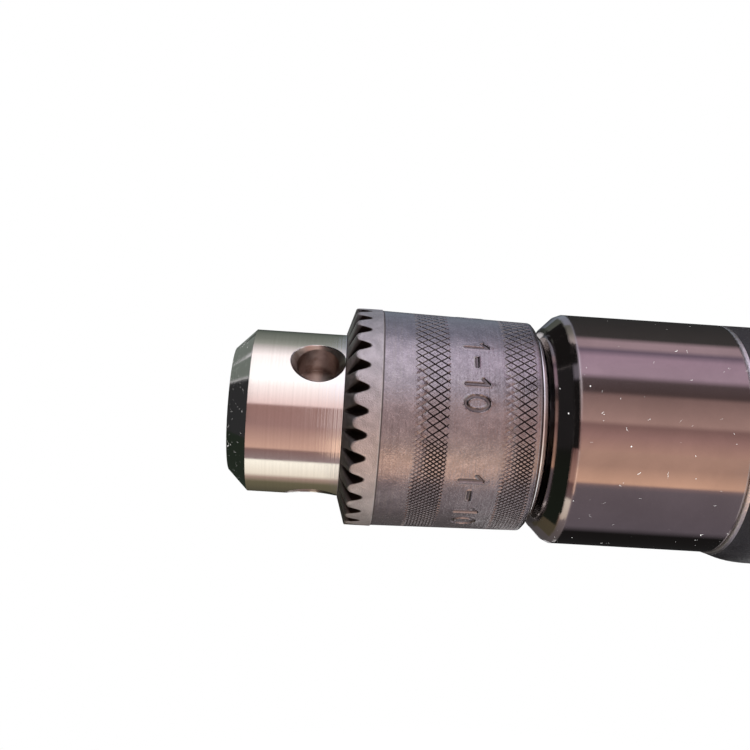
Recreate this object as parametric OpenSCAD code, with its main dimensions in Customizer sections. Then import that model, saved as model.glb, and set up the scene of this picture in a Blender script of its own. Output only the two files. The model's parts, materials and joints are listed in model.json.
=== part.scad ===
// Pneumatic drill with a keyed chuck, a planetary gear case, a vane motor and a pistol grip.
// The spindle runs along X with the chuck towards -X, and the grip hangs towards -Z.
// The origin is the centre of the floor of the chuck's shank bore, on the spindle axis.

/* [Chuck] */
// Diameter of the bright nose in front of the geared sleeve
nose_d = 25.3; // [25:0.1:25.6]
// Length of the nose from its front face to the tips of the sleeve's teeth
nose_len = 18.3; // [18:0.1:19.5]
// Width of the 45 degree chamfer round the front of the nose
nose_chamfer = 3.05; // [1.5:0.05:3.3]
// Diameter of the bore that takes the shank of the bit
shank_bore_d = 10.5; // [10.3:0.1:10.9]
// Depth of the shank bore behind the front face
shank_bore_depth = 31; // [30.5:0.5:32]
// Diameter of the wider mouth in front of the shank bore
mouth_d = 12.4; // [12:0.1:12.8]
// Length of the whole chuck
chuck_len = 46.9; // [46.5:0.1:49]
// Diameter of the sleeve over its teeth
sleeve_d = 34; // [33.8:0.1:35]
// Diameter of the sleeve at its rear edge
sleeve_rear_d = 32.8; // [32.4:0.1:33.4]
// Length of the bright toothed ring at the front of the sleeve
gear_ring_len = 4; // [3.8:0.1:5]
// Number of teeth for the chuck key
key_teeth = 31; // [29:1:33]
// Depth of those teeth at their outer ends
tooth_depth = 2.1; // [1.8:0.1:2.6]
// Diameter of each pilot hole for the chuck key
key_hole_d = 6.3; // [6:0.1:6.5]
// Distance from the front face to the key holes
key_hole_back = 12.95; // [12.6:0.05:13.1]
// Depth of a key hole below the surface of the nose
key_hole_depth = 5.8; // [4.5:0.1:5.9]
// Diameter of a jaw
jaw_d = 5.8; // [5.6:0.1:5.9]
// Angle between a jaw and the spindle axis
jaw_angle = 15.5; // [15.3:0.1:15.7]
// Largest bit that the open jaws take
jaw_capacity = 10.2; // [10:0.1:10.4]
// Distance that the jaw tips lie behind the front face when the jaws are open
jaw_setback = 9.5; // [9.2:0.1:10]
// Length of a jaw along the spindle axis
jaw_len = 31.3; // [30:0.1:32]

/* [Gear case] */
// Diameter of the polished gear case
case_d = 36.1; // [35.8:0.1:36.6]
// Gap between the back of the chuck and the front of the gear case
case_gap = 0.6; // [0.4:0.1:1.5]
// Length of the gear case that shows in front of the housing
case_len = 28; // [27:0.5:30]
// Width of the 45 degree chamfer round the front of the gear case
case_chamfer = 2.55; // [2:0.05:3]
// Diameter of the gear case's bore, which holds both bearings and the ring gear
case_bore_d = 28; // [27.8:0.1:28.2]
// Thickness of the front wall of the gear case, which holds the dust seal
case_wall = 3; // [2.6:0.1:3.5]
// Diameter of the threaded rear end of the gear case
case_thread_d = 32; // [31.6:0.1:32.4]
// Module of the planetary gears
gear_module = 0.6; // [0.55:0.01:0.6]
// Teeth on the pinion that is cut on the rotor shaft
sun_teeth = 9; // [9:3:12]
// Teeth on each planet gear
planet_teeth = 15; // [12:3:15]
// Width of a planet gear
planet_w = 9; // [8:0.5:9.5]
// Diameter of a planet pin
planet_pin_d = 3.5; // [3:0.1:3.8]
// Diameter of the spindle's threaded end, which screws into the chuck
spindle_thread_d = 9.4; // [9:0.1:9.5]
// Diameter of the spindle's collar behind the chuck
spindle_collar_d = 14; // [13.5:0.1:14.5]

/* [Motor] */
// Outer diameter of the motor cylinder
motor_d = 30; // [29.8:0.1:30.2]
// Length of the motor cylinder
motor_len = 58; // [54:1:64]
// Diameter of the rotor
rotor_d = 19; // [18:0.1:20]
// Distance between the rotor axis and the axis of the cylinder's bore
motor_offset = 1.5; // [1.3:0.05:1.7]
// Number of vanes
vane_count = 5; // [4:1:6]
// Thickness of a vane
vane_w = 1.5; // [1.3:0.1:1.8]
// Thickness of each end plate
plate_len = 8; // [7.6:0.1:9]

/* [Housing] */
// Diameter of the motor barrel
barrel_d = 37.6; // [37.4:0.1:38.4]
// Distance that the barrel is set below the spindle axis
barrel_drop = 0.7; // [0.65:0.05:1]
// Thickness of the barrel's rear wall
rear_wall = 6; // [5:0.5:8]
// Distance that the grip's crossing with the barrel lies behind the motor's middle
grip_shift = 3; // [0:0.5:5]
// Angle by which the grip leans back
grip_tilt = 8; // [6:0.5:10]
// Length of the grip below its crossing with the barrel
grip_len = 100; // [96:1:110]
// Diameter of the round base of the grip
grip_base_d = 32.8; // [32.4:0.1:34]
// Front to back depth of the grip at its middle
grip_depth = 35; // [34:0.5:37]
// Width of the grip at its middle
grip_w = 29.6; // [29:0.1:31]

/* [Controls] */
// Width of the trigger
trigger_w = 13; // [11:0.5:14]
// Height of the trigger
trigger_h = 25; // [22:0.5:25]
// Distance that the trigger travels
trigger_travel = 5; // [4:0.5:5.4]
// Diameter of the trigger's guide shank
trigger_shank_d = 8; // [7:0.5:8.5]
// Diameter of the bore that holds the throttle valve
valve_bore_d = 13; // [12.6:0.1:13.2]
// Diameter of the reversing spool
spool_d = 8; // [7.4:0.1:8.4]
// Sideways travel of the reversing spool
spool_travel = 5; // [4:0.5:5]

/* [Air inlet] */
// Diameter of the threaded hole for the air line
inlet_bore_d = 11.8; // [11.4:0.1:12.2]
// Diameter of the inlet bushing's shank
inlet_shank_d = 17; // [16.6:0.1:17.2]
// Width across the flats of the inlet bushing's hexagon
inlet_hex = 22; // [20:1:24]
// Height of that hexagon
inlet_hex_h = 8; // [6:0.5:10]
// Height of the exhaust deflector
deflector_h = 9.2; // [8:0.1:11]

/* [Hidden] */
$fn = 64;
run = 0.05;            // running clearance of a shaft or gear bore
seat = 0.02;           // clearance where one part is pressed into or held in another
face = 0.1;            // end clearance between parts that turn against each other
loose = 0.1;           // clearance of a jaw in its hole
eps = 0.01;            // overlap of the pieces of one cut or one solid

// Stations along the spindle, in front-to-back order
nose_x = -shank_bore_depth;
tooth_tip_x = nose_x + nose_len;
key_x = nose_x + key_hole_back;
chuck_back_x = nose_x + chuck_len;
case_x = chuck_back_x + case_gap;
housing_x = case_x + case_len;

// Chuck: the sleeve runs on the body, and a split nut inside it drives the jaws
nose_r = nose_d / 2;
sleeve_r = sleeve_d / 2;
sleeve_rear_r = sleeve_rear_d / 2;
sleeve_wall = 1.2;
sleeve_bore_r = sleeve_rear_r - sleeve_wall;
sleeve_edge = 1.15;
ring_step = 0.15;      // step from the toothed ring down to the knurled part
lip_clear = 0.25;
// The tooth tips point to the crossing of the key's axis and the spindle's
cone_slope = (tooth_tip_x - key_x) / sleeve_r;
lip_len = 3;
nut_len = 3.8;
nut_clear = 0.15;
nut_x = tooth_tip_x + lip_len;
body_rear_r = sleeve_bore_r - run;
groove_end_x = nut_x + nut_len + 0.3;
tooth_pitch = 360 / key_teeth;
tooth_phase = 87.3;    // angle from the top towards the viewer of one gap between teeth
key_phase = 52;        // angle from the top towards the viewer of the first key hole
// Outline of half a gap between two teeth: [share of half the pitch, share of the tooth depth]
gap_half = [[0.96, 0], [0.76, 0.05], [0.59, 0.17], [0.45, 0.42], [0.32, 0.7], [0.18, 0.93], [0, 1]];
gap_start_r = nose_r + lip_clear;   // the gaps run out to nothing at the sleeve's front lip
gap_lift = 0.15;       // how far in front of the cone a gap's tip lies, so that the cut starts cleanly
gap_reach = 1.4;       // how far the cut goes past the teeth, as a share of their length
mouth_depth = 1.2;     // depth of the wide mouth, and length of the cone behind it
mouth_taper = 1;
key_bevel = 0.65;
jaw_count = 3;
jaw_phase = key_phase + 60;
jaw_r = jaw_d / 2;
jaw_hole_r = jaw_r + loose;
grip_r = jaw_capacity / 2;
jaw_tip_x = nose_x + jaw_setback;
jaw_rod = jaw_len / cos(jaw_angle);               // length of a jaw along its own axis
jaw_tip_t = 1.6;                                 // thickness of a jaw's tip
jaw_tip_axis_r = grip_r + jaw_tip_t - jaw_r / cos(jaw_angle);
groove_r = jaw_out_r(nut_x) - 0.3;               // the racks stand out of the body's groove
jaw_land = 0.6;                                  // half width of the flat that grips the bit
jaw_rack_pitch = 1.5;
jaw_rack_depth = 0.6;
jaw_rack_start = 11;
jaw_trim = sqrt(pow(sleeve_bore_r - 0.15, 2) - pow(jaw_r, 2));
screw_r = 2.5;
screw_head_r = 4.5;
screw_head_len = 2.6;
head_sink = screw_head_len + 0.2;
web_len = head_sink + 2.8;
spindle_thread_r = spindle_thread_d / 2;
spindle_front_x = web_len + 0.2;
spindle_collar_r = spindle_collar_d / 2;
hex_key = 4.6;         // size over the corners of the screw's hexagon socket
hex_key_depth = 1.9;

// Gear case, its bearings [outer radius, inner radius, width] and its gears
case_r = case_d / 2;
case_bore_r = case_bore_d / 2;
case_thread_r = case_thread_d / 2;
front_brg = [case_bore_r - seat, 6, 8];
front_brg_x = case_x + case_wall;
spacer_len = 3;
spacer_x = front_brg_x + front_brg[2];
ring_x = spacer_x + spacer_len;
ring_len = planet_w + 7;
carrier_brg = [case_bore_r - seat, 7.5, 7];
carrier_brg_x = ring_x + ring_len;
case_back_x = carrier_brg_x + carrier_brg[2] + 0.2;
ring_teeth = sun_teeth + 2 * planet_teeth;
orbit_r = gear_module * (sun_teeth + planet_teeth) / 2;
pressure = 25;
backlash = 0.08;
addendum = 0.8 * gear_module;
dedendum = 1.1 * gear_module;
planet_count = 3;
planet_pin_r = planet_pin_d / 2;
planet_x = ring_x + 2;
cage_gap = 0.3;
carrier_r = gear_module * ring_teeth / 2 - addendum - 0.35;
carrier_disc = 3.2;
pinion_tip_r = gear_module * sun_teeth / 2 + addendum;
carrier_bore_r = pinion_tip_r + 0.5;
seal_r = 10;
seal_len = 1.6;
carrier_x = spacer_x + 1.6;
cage_front_x = planet_x - cage_gap;
cage_rear_x = planet_x + planet_w + cage_gap;
carrier_back_x = cage_rear_x + carrier_disc;
hub_r = carrier_brg[1] - seat;
journal_r = front_brg[1] - seat;
clip_w = 1;            // width and depth of the groove that holds the circlip
clip_depth = 0.5;

// Motor: plate, cylinder, plate, preload washer
motor_r = motor_d / 2;
front_plate_x = case_back_x + face;
cylinder_x = front_plate_x + plate_len;
rear_plate_x = cylinder_x + motor_len;
washer_x = rear_plate_x + plate_len;
washer_len = 1;
bore_back_x = washer_x + washer_len;
barrel_back_x = bore_back_x + rear_wall;
rotor_r = rotor_d / 2;
cylinder_bore_r = rotor_r + motor_offset + 0.1;
rotor_brg = [9.5, pinion_tip_r + 0.32, 6];
shaft_r = rotor_brg[1] - seat;
plate_web = plate_len - rotor_brg[2];
vane_depth = 5;
rotor_front_brg_x = front_plate_x;
rotor_rear_brg_x = washer_x - rotor_brg[2];
dowel_r = 1.25;
dowel_ring_r = (motor_r + cylinder_bore_r - motor_offset) / 2;
dowel_spread = 15;
dowel_inset = 3;       // how far the dowels stay short of the outer faces of the end plates
motor_port_r = 1.4;
motor_port_step = 5;

// Housing
barrel_r = barrel_d / 2;
shoulder_len = 12;
shoulder_rise = barrel_r + barrel_drop - case_r;
rim_len = 0.6;
rear_round = 8;
grip_x = cylinder_x + motor_len / 2 + grip_shift;
grip_z = -20;
grip_base_r = grip_base_d / 2;
grip_power = 2.4;
// Depth and width of the grip's neck, behind the trigger
neck_half_depth = grip_depth / 2 + 0.8;
neck_half_width = grip_w / 2 - 0.4;
// Each grip section is [distance down the grip, shift to the back, half depth, half width, squareness]
grip_sections = [
    [-14, 0, neck_half_depth + 9, neck_half_width + 0.6, grip_power],
    [-1, 0, neck_half_depth + 4, neck_half_width + 0.2, grip_power],
    [7, 0, neck_half_depth + 1.2, neck_half_width, grip_power],
    [16, 0, neck_half_depth, neck_half_width, grip_power],
    [36, 0.6, grip_depth / 2 + 0.1, grip_w / 2, grip_power],
    [60, 1, grip_depth / 2 + 0.5, grip_w / 2 + 0.3, grip_power],
    [grip_len - 12, 0.3, grip_base_r + 0.2, grip_base_r - 0.7, 2.1],
    [grip_len, 0, grip_base_r, grip_base_r, 2]
];

// Trigger, throttle valve and reversing spool
trigger_z = -40;
trigger_r = trigger_shank_d / 2;
trigger_axis_x = grip_x + (grip_z - trigger_z) * tan(grip_tilt);
grip_front_x = trigger_axis_x - neck_half_depth;
trigger_out = 11;
trigger_clear = 0.3;   // gap all round the trigger in its pocket
trigger_back_x = grip_front_x + 0.5;
trigger_front_x = trigger_back_x - trigger_out;
pocket_floor_x = trigger_back_x + trigger_travel + 0.5;
valve_bore_r = valve_bore_d / 2;
guide_len = 4.5;
chamber_x = pocket_floor_x + guide_len;
shank_end_x = chamber_x;
seat_x = shank_end_x + trigger_travel + 0.5;
seat_len = 4;
port_r = 3.2;
valve_x = seat_x + seat_len + seat;
valve_head = 2.4;
valve_head_r = valve_bore_r - 1.6;
stem_r = 1.6;
plug_back_x = trigger_axis_x + neck_half_depth - 1;
plug_len = 5;
plug_hex = 6.8;        // size over the corners of the plug's hexagon socket
plug_x = plug_back_x - plug_len;
spring_r = 3.6;
spring_wire_r = 0.35;
spring_turns = 4;
spool_r = spool_d / 2;
spool_x = (chamber_x + seat_x) / 2;
spool_z = -25.4;
spool_port_y = 5;      // distance of the spool's ports and waists from the middle
spool_port_r = 1.6;
spool_waist = 1.5;     // depth of the waists and of the grooves for the seals
feed_r = 2;
bushing_r = spool_r + 1.9;
bushing_half = neck_half_width - 1.2;
spool_seal_y = bushing_half - 4.2;
spool_half = bushing_half + 2 + spool_travel / 2;
button_r = spool_r + 0.8;
button_len = 3.4;
ring_r = 0.8;

// Air inlet, all in the grip's own frame, where z runs down the grip
inlet_bore_r = inlet_bore_d / 2;
inlet_shank_r = inlet_shank_d / 2;
inlet_depth = 14;
deflector_r = grip_base_r;
deflector_wall = 1.9;
deflector_z = grip_len + face * 2;
hex_z = deflector_z + deflector_h + face * 2;
slot_count = 7;
slot_w = 2.4;
slot_step = 24;
exhaust_r = 2.4;
exhaust_back = 8;
exhaust_side = 10;
supply_back = 8;       // place and radius of the passage from the inlet up to the valve
supply_r = 4;
screen_len = 1;
inlet_chamber = 4;     // height of the space above the inlet screen
inlet_ring_r = 1;      // half thickness of the seal round the inlet

// Helpers

// A cylinder along X between two stations
module rod(r, x0, x1) {
    translate([x0, 0, 0]) rotate([0, 90, 0]) cylinder(r = r, h = x1 - x0);
}

// A ring along X between two stations
module ring(ro, ri, x0, x1) {
    difference() {
        rod(ro, x0, x1);
        rod(ri, x0 - 1, x1 + 1);
    }
}

// A solid turned about X from [radius, station] points
module turned(points) {
    rotate([0, 90, 0]) rotate_extrude() polygon(points);
}

// Children are placed in the grip's frame: x towards the back, z down the grip
module in_grip() {
    translate([grip_x, 0, grip_z]) rotate([180, -grip_tilt, 0]) children();
}

// Children that point up along Z are turned by an angle from the top towards the viewer
module towards(angle) {
    rotate([angle, 0, 0]) children();
}

// Involute of an angle, in degrees
function involute(a) = tan(a) * 180 / PI - a;

// Half the angle that a tooth takes up at radius r, widened by slack at the pitch line
function tooth_half(teeth, r, slack) =
    let (pitch_r = gear_module * teeth / 2, base_r = pitch_r * cos(pressure))
    90 / teeth + involute(pressure) - (r > base_r ? involute(acos(base_r / r)) : 0)
        + slack / pitch_r * 180 / PI;

// Outline of a gear: each tooth climbs one flank and comes down the other
function gear_outline(teeth, root, tip, slack, steps = 3) = [
    for (i = [0 : teeth - 1], side = [-1, 1], k = side < 0 ? [0 : steps] : [steps : -1 : 0])
        let (r = root + (tip - root) * k / steps, a = 360 * i / teeth + side * tooth_half(teeth, r, slack))
        [r * cos(a), r * sin(a)]
];

// An external gear along X, with one tooth pointing up
module spur_gear(teeth, x0, x1) {
    pitch_r = gear_module * teeth / 2;
    translate([x0, 0, 0]) rotate([0, 90, 0]) rotate(180) linear_extrude(x1 - x0)
        polygon(gear_outline(teeth, pitch_r - dedendum, pitch_r + addendum, -backlash / 4));
}

// Ball bearings, each sized [outer radius, inner radius, width]

function track_r(b) = (b[0] + b[1]) / 2;
function ball_r(b) = 0.3 * (b[0] - b[1]);
function land(b) = 0.3 * (b[0] - b[1]);
function ball_count(b) = floor(PI * track_r(b) / (ball_r(b) * 1.35));

module race_groove(b, x) {
    translate([x + b[2] / 2, 0, 0]) rotate([0, 90, 0]) rotate_extrude()
        translate([track_r(b), 0]) circle(r = ball_r(b) + seat);
}

module bearing_outer(b, x) {
    color("#8d9196") difference() {
        ring(b[0], b[0] - land(b), x, x + b[2]);
        race_groove(b, x);
    }
}

module bearing_inner(b, x) {
    color("#9da1a6") difference() {
        ring(b[1] + land(b), b[1], x, x + b[2]);
        race_groove(b, x);
    }
}

module bearing_balls(b, x) {
    color("#d8dadd") for (i = [0 : ball_count(b) - 1])
        towards(360 * i / ball_count(b)) translate([x + b[2] / 2, 0, track_r(b)]) sphere(r = ball_r(b));
}

module bearing_cage(b, x) {
    half_w = ball_r(b) + 0.55;
    half_t = 0.12 * (b[0] - b[1]);
    color("#b08d57") difference() {
        ring(track_r(b) + half_t, track_r(b) - half_t, x + b[2] / 2 - half_w, x + b[2] / 2 + half_w);
        for (i = [0 : ball_count(b) - 1])
            towards(360 * i / ball_count(b)) translate([x + b[2] / 2, 0, track_r(b) - half_t - 1])
                cylinder(r = ball_r(b) + seat, h = 2 * half_t + 2);
    }
}

// Chuck

// Radius of a jaw's own axis at a station, with the jaws open
function jaw_axis_r(x) = jaw_tip_axis_r + (x - jaw_tip_x) * tan(jaw_angle);

// Radius of a jaw's outermost line at a station
function jaw_out_r(x) = jaw_axis_r(x) + jaw_r / cos(jaw_angle);

// Places a jaw's axis: children point along +X from the jaw's front end, with the jaw's outside up
module at_jaw(i) {
    towards(jaw_phase + 360 * i / jaw_count) translate([jaw_tip_x, 0, jaw_tip_axis_r])
        rotate([0, -jaw_angle, 0]) children();
}

module chuck_body() {
    color("#c9c2b8") difference() {
        turned([
            [mouth_d / 2, nose_x], [nose_r - nose_chamfer, nose_x], [nose_r, nose_x + nose_chamfer],
            [nose_r, nut_x - face], [groove_r, nut_x - face], [groove_r, groove_end_x],
            [body_rear_r, groove_end_x], [body_rear_r, chuck_back_x - 0.8],
            [body_rear_r - 0.8, chuck_back_x], [spindle_thread_r + seat, chuck_back_x],
            [spindle_thread_r + seat, web_len], [screw_r + seat, web_len], [screw_r + seat, head_sink],
            [screw_head_r + seat, head_sink], [screw_head_r + seat, 0], [shank_bore_d / 2, 0],
            [shank_bore_d / 2, nose_x + mouth_depth + mouth_taper], [mouth_d / 2, nose_x + mouth_depth]
        ]);
        for (i = [0 : jaw_count - 1])
            at_jaw(i) rod(jaw_hole_r, -jaw_setback - 3, jaw_rod + jaw_r * tan(jaw_angle) + 0.3);
        for (i = [0 : jaw_count - 1]) towards(key_phase + 360 * i / jaw_count) {
            translate([key_x, 0, nose_r - key_hole_depth]) cylinder(r = key_hole_d / 2, h = key_hole_depth + 1);
            translate([key_x, 0, nose_r - key_bevel - 0.35])
                cylinder(r1 = key_hole_d / 2, r2 = key_hole_d / 2 + key_bevel + 1, h = key_bevel + 1);
        }
    }
}

// One gap between two teeth of the sleeve, as a pyramid whose tip lies just in front of the sleeve's lip
module tooth_gap() {
    half_pitch = PI * sleeve_r / key_teeth;
    mouth = half_pitch * gap_half[0][0];
    last = len(gap_half) - 1;
    shape = concat(
        [[-mouth, -tooth_depth]],
        [for (k = [0 : last]) [-half_pitch * gap_half[k][0], tooth_depth * gap_half[k][1]]],
        [for (k = [last - 1 : -1 : 0]) [half_pitch * gap_half[k][0], tooth_depth * gap_half[k][1]]],
        [[mouth, -tooth_depth]]
    );
    count = len(shape);
    tip = [key_x + cone_slope * gap_start_r - gap_lift, 0, gap_start_r];
    base = [for (p = shape) tip + gap_reach * ([tooth_tip_x + p[1], p[0], sleeve_r] - tip)];
    polyhedron(
        points = concat([tip], base),
        faces = concat([for (i = [1 : count]) [0, i, i % count + 1]], [[for (i = [count : -1 : 1]) i]])
    );
}

module chuck_sleeve() {
    lip_r = nose_r + lip_clear;
    end_x = chuck_back_x - sleeve_edge;
    color("#6f6a68") difference() {
        turned([
            [lip_r, key_x + cone_slope * lip_r], [sleeve_r, tooth_tip_x],
            [sleeve_r, tooth_tip_x + gear_ring_len],
            [sleeve_r - ring_step, tooth_tip_x + gear_ring_len + ring_step],
            [sleeve_rear_r, end_x - 0.5], [sleeve_rear_r - 0.5, end_x], [sleeve_bore_r, end_x],
            [sleeve_bore_r, nut_x], [lip_r, nut_x]
        ]);
        for (i = [0 : key_teeth - 1]) towards(tooth_phase + i * tooth_pitch) tooth_gap();
    }
}

// The nut is a ring split in two halves, pressed into the sleeve round the jaws' racks
module chuck_nut() {
    split = 0.15;
    color("#8a8f94") difference() {
        turned([
            [jaw_out_r(nut_x) + nut_clear, nut_x + seat], [sleeve_bore_r - seat, nut_x + seat],
            [sleeve_bore_r - seat, nut_x + nut_len], [jaw_out_r(nut_x + nut_len) + nut_clear, nut_x + nut_len]
        ]);
        translate([nut_x - 1, -split / 2, -sleeve_r]) cube([nut_len + 2, split, 2 * sleeve_r]);
    }
}

module jaw(i) {
    flat_w = jaw_r * 2;
    rack_count = floor((jaw_rod - jaw_rack_start - 2.2) / jaw_rack_pitch);
    color("#55585c") difference() {
        intersection() {
            at_jaw(i) rod(jaw_r, -4, jaw_rod + 4);
            towards(jaw_phase + 360 * i / jaw_count) translate([jaw_tip_x, 0, 0]) rotate([90, 0, 90])
                linear_extrude(jaw_len) polygon([
                    [-jaw_land, grip_r], [jaw_land, grip_r],
                    [flat_w, grip_r + (flat_w - jaw_land) * tan(30)], [flat_w, jaw_trim],
                    [-flat_w, jaw_trim], [-flat_w, grip_r + (flat_w - jaw_land) * tan(30)]
                ]);
        }
        for (k = [0 : rack_count - 1])
            at_jaw(i) translate([jaw_rack_start + k * jaw_rack_pitch, -jaw_r, jaw_r - jaw_rack_depth])
                cube([jaw_rack_pitch / 2, 2 * jaw_r, 2]);
    }
}

// Left-hand screw that holds the chuck on the spindle
module chuck_screw() {
    color("#3c3f43") difference() {
        union() {
            rod(screw_head_r, head_sink - screw_head_len, head_sink - seat);
            rod(screw_r, head_sink - 1, spindle_front_x + 7);
        }
        rotate([0, 90, 0]) cylinder(d = hex_key, h = hex_key_depth, $fn = 6);
    }
}

// Spindle, planets and gear case

// Places children at a planet's axis
module at_planet(i) {
    towards(360 * i / planet_count) translate([0, 0, orbit_r]) children();
}

module output_spindle() {
    pocket_r = gear_module * planet_teeth / 2 + addendum + 0.35;
    color("#a9aeb3") difference() {
        turned([
            [0, spindle_front_x], [spindle_thread_r - 0.5, spindle_front_x],
            [spindle_thread_r, spindle_front_x + 0.5], [spindle_thread_r, chuck_back_x + seat],
            [spindle_collar_r, chuck_back_x + seat], [spindle_collar_r, front_brg_x - seat],
            [journal_r, front_brg_x - seat], [journal_r, spacer_x + face / 2],
            [journal_r - clip_depth - face, spacer_x + face / 2],
            [journal_r - clip_depth - face, spacer_x + clip_w + 1.5 * face],
            [journal_r, spacer_x + clip_w + 1.5 * face], [journal_r, carrier_x],
            [carrier_r, carrier_x], [carrier_r, carrier_back_x], [carrier_brg[1] + 1.5, carrier_back_x],
            [carrier_brg[1] + 1.5, carrier_brg_x - seat], [hub_r, carrier_brg_x - seat],
            [hub_r, case_back_x - 0.3], [0, case_back_x - 0.3]
        ]);
        rod(carrier_bore_r, cage_front_x - 1, case_back_x + 1);
        for (i = [0 : planet_count - 1]) at_planet(i) {
            rod(pocket_r, cage_front_x, cage_rear_x);
            rod(planet_pin_r + seat, carrier_x - 1, carrier_back_x - 0.6);
        }
        rod(screw_r + seat, spindle_front_x - 1, spindle_front_x + 8);
    }
}

module spindle_circlip() {
    color("#2e3134") difference() {
        ring(journal_r + 1.2, journal_r - clip_depth, spacer_x + face, spacer_x + face + clip_w);
        translate([spacer_x - 1, -1.6, 0]) cube([3, 3.2, journal_r + 3]);
    }
}

module planet_pins() {
    color("#c4c7ca") for (i = [0 : planet_count - 1])
        at_planet(i) rod(planet_pin_r, carrier_x + 0.1, carrier_back_x - 0.7);
}

module planet_gear(i) {
    color("#b5a27a") at_planet(i) difference() {
        towards(180 - 180 / planet_teeth) spur_gear(planet_teeth, planet_x, planet_x + planet_w);
        rod(planet_pin_r + run, planet_x - 1, planet_x + planet_w + 1);
    }
}

module ring_gear() {
    pitch_r = gear_module * ring_teeth / 2;
    color("#9a9fa4") difference() {
        rod(case_bore_r - seat, ring_x + seat, ring_x + ring_len - seat);
        towards((planet_teeth - 1) * 180 / ring_teeth)
            translate([ring_x - 1, 0, 0]) rotate([0, 90, 0]) rotate(180) linear_extrude(ring_len + 2)
                polygon(gear_outline(ring_teeth, pitch_r - addendum, pitch_r + dedendum, backlash / 4));
    }
}

module bearing_spacer() {
    color("#80858a") ring(case_bore_r - seat, carrier_r + 0.35, spacer_x + seat, ring_x);
}

module dust_seal() {
    color("#1d1d1f") ring(seal_r - seat, spindle_collar_r + run, front_brg_x - seal_len, front_brg_x - seat);
}

module gear_case() {
    front_r = case_r - case_chamfer;
    color("#2c2624") turned([
        [spindle_collar_r + 0.5, case_x], [front_r - 0.4, case_x], [front_r + 0.3, case_x + 0.3],
        [case_r - 0.4, case_x + case_chamfer - 0.4], [case_r, case_x + case_chamfer + 0.55],
        [case_r, housing_x - 0.05], [case_thread_r, housing_x - 0.05], [case_thread_r, case_back_x],
        [case_bore_r, case_back_x], [case_bore_r, front_brg_x], [seal_r, front_brg_x],
        [seal_r, front_brg_x - seal_len - seat], [spindle_collar_r + 0.5, front_brg_x - seal_len - seat]
    ]);
}

// Motor

module rotor() {
    slot_floor = rotor_r - vane_depth - 0.1;
    half_slot = vane_w / 2 + run;
    color("#8f9499") {
        difference() {
            rod(rotor_r, cylinder_x + run, rear_plate_x - run);
            for (i = [0 : vane_count - 1])
                towards(360 * i / vane_count) translate([cylinder_x - 1, -half_slot, slot_floor])
                    cube([motor_len + 2, 2 * half_slot, vane_depth + 1]);
        }
        rod(shaft_r, front_plate_x - 0.3, cylinder_x + 2);
        rod(shaft_r, rear_plate_x - 2, washer_x - 0.3);
        rod(pinion_tip_r + 0.1, planet_x + planet_w, front_plate_x);
        spur_gear(sun_teeth, planet_x - 0.6, planet_x + planet_w + 1);
    }
}

module rotor_vanes() {
    color("#7a5a34") for (i = [0 : vane_count - 1])
        towards(360 * i / vane_count)
            translate([cylinder_x + 2 * run, -vane_w / 2, rotor_r - vane_depth])
                cube([motor_len - 4 * run, vane_w, vane_depth - 0.1]);
}

// The cylinder's bore lies below its outside, so its wall is thickest on top, where the dowels go
module motor_cylinder() {
    color("#74797e") difference() {
        rod(motor_r - seat, cylinder_x + seat, rear_plate_x - seat);
        translate([0, 0, -motor_offset]) rod(cylinder_bore_r, cylinder_x - 1, rear_plate_x + 1);
        for (side = [-1, 1]) {
            towards(side * dowel_spread) translate([0, 0, dowel_ring_r])
                rod(dowel_r + seat, cylinder_x - 1, rear_plate_x + 1);
            for (k = [-2 : 2]) translate([grip_x + motor_port_step * k, side * spool_port_y, -motor_r - 1])
                cylinder(r = motor_port_r, h = motor_r);
        }
    }
}

// An end plate with its bearing pocket on the side away from the rotor
module end_plate(x, pocket_x) {
    blind = pocket_x > x ? [-1, -dowel_inset] : [dowel_inset, 1];
    color("#a4a8ac") difference() {
        rod(motor_r - seat, x, x + plate_len);
        rod(rotor_brg[0] + seat, pocket_x - seat, pocket_x + rotor_brg[2] + seat);
        rod(rotor_brg[1] + 1.2, x - 1, x + plate_len + 1);
        for (side = [-1, 1]) towards(side * dowel_spread) translate([0, 0, dowel_ring_r])
            rod(dowel_r + seat, x + blind[0], x + plate_len + blind[1]);
    }
}

module front_end_plate() {
    end_plate(front_plate_x, rotor_front_brg_x);
}

module rear_end_plate() {
    end_plate(rear_plate_x, rotor_rear_brg_x);
}

module cylinder_dowels() {
    color("#c4c7ca") for (side = [-1, 1])
        towards(side * dowel_spread) translate([0, 0, dowel_ring_r])
            rod(dowel_r, front_plate_x + dowel_inset + face, rear_plate_x + plate_len - dowel_inset - face);
}

module preload_washer() {
    color("#6d7277") ring(motor_r - 1, motor_r - 4, washer_x + seat, bore_back_x - seat);
}

// Housing

function superellipse(a, b, power, steps = 48) = [
    for (i = [0 : steps - 1])
        let (c = cos(360 * i / steps), s = sin(360 * i / steps))
        [a * sign(c) * pow(abs(c), 2 / power), b * sign(s) * pow(abs(s), 2 / power)]
];

module grip_section(section) {
    translate([section[1], 0, section[0] - eps / 2]) linear_extrude(eps)
        polygon(superellipse(section[2], section[3], section[4]));
}

module grip_shell() {
    for (i = [1 : len(grip_sections) - 1]) hull() {
        grip_section(grip_sections[i - 1]);
        grip_section(grip_sections[i]);
    }
}

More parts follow.
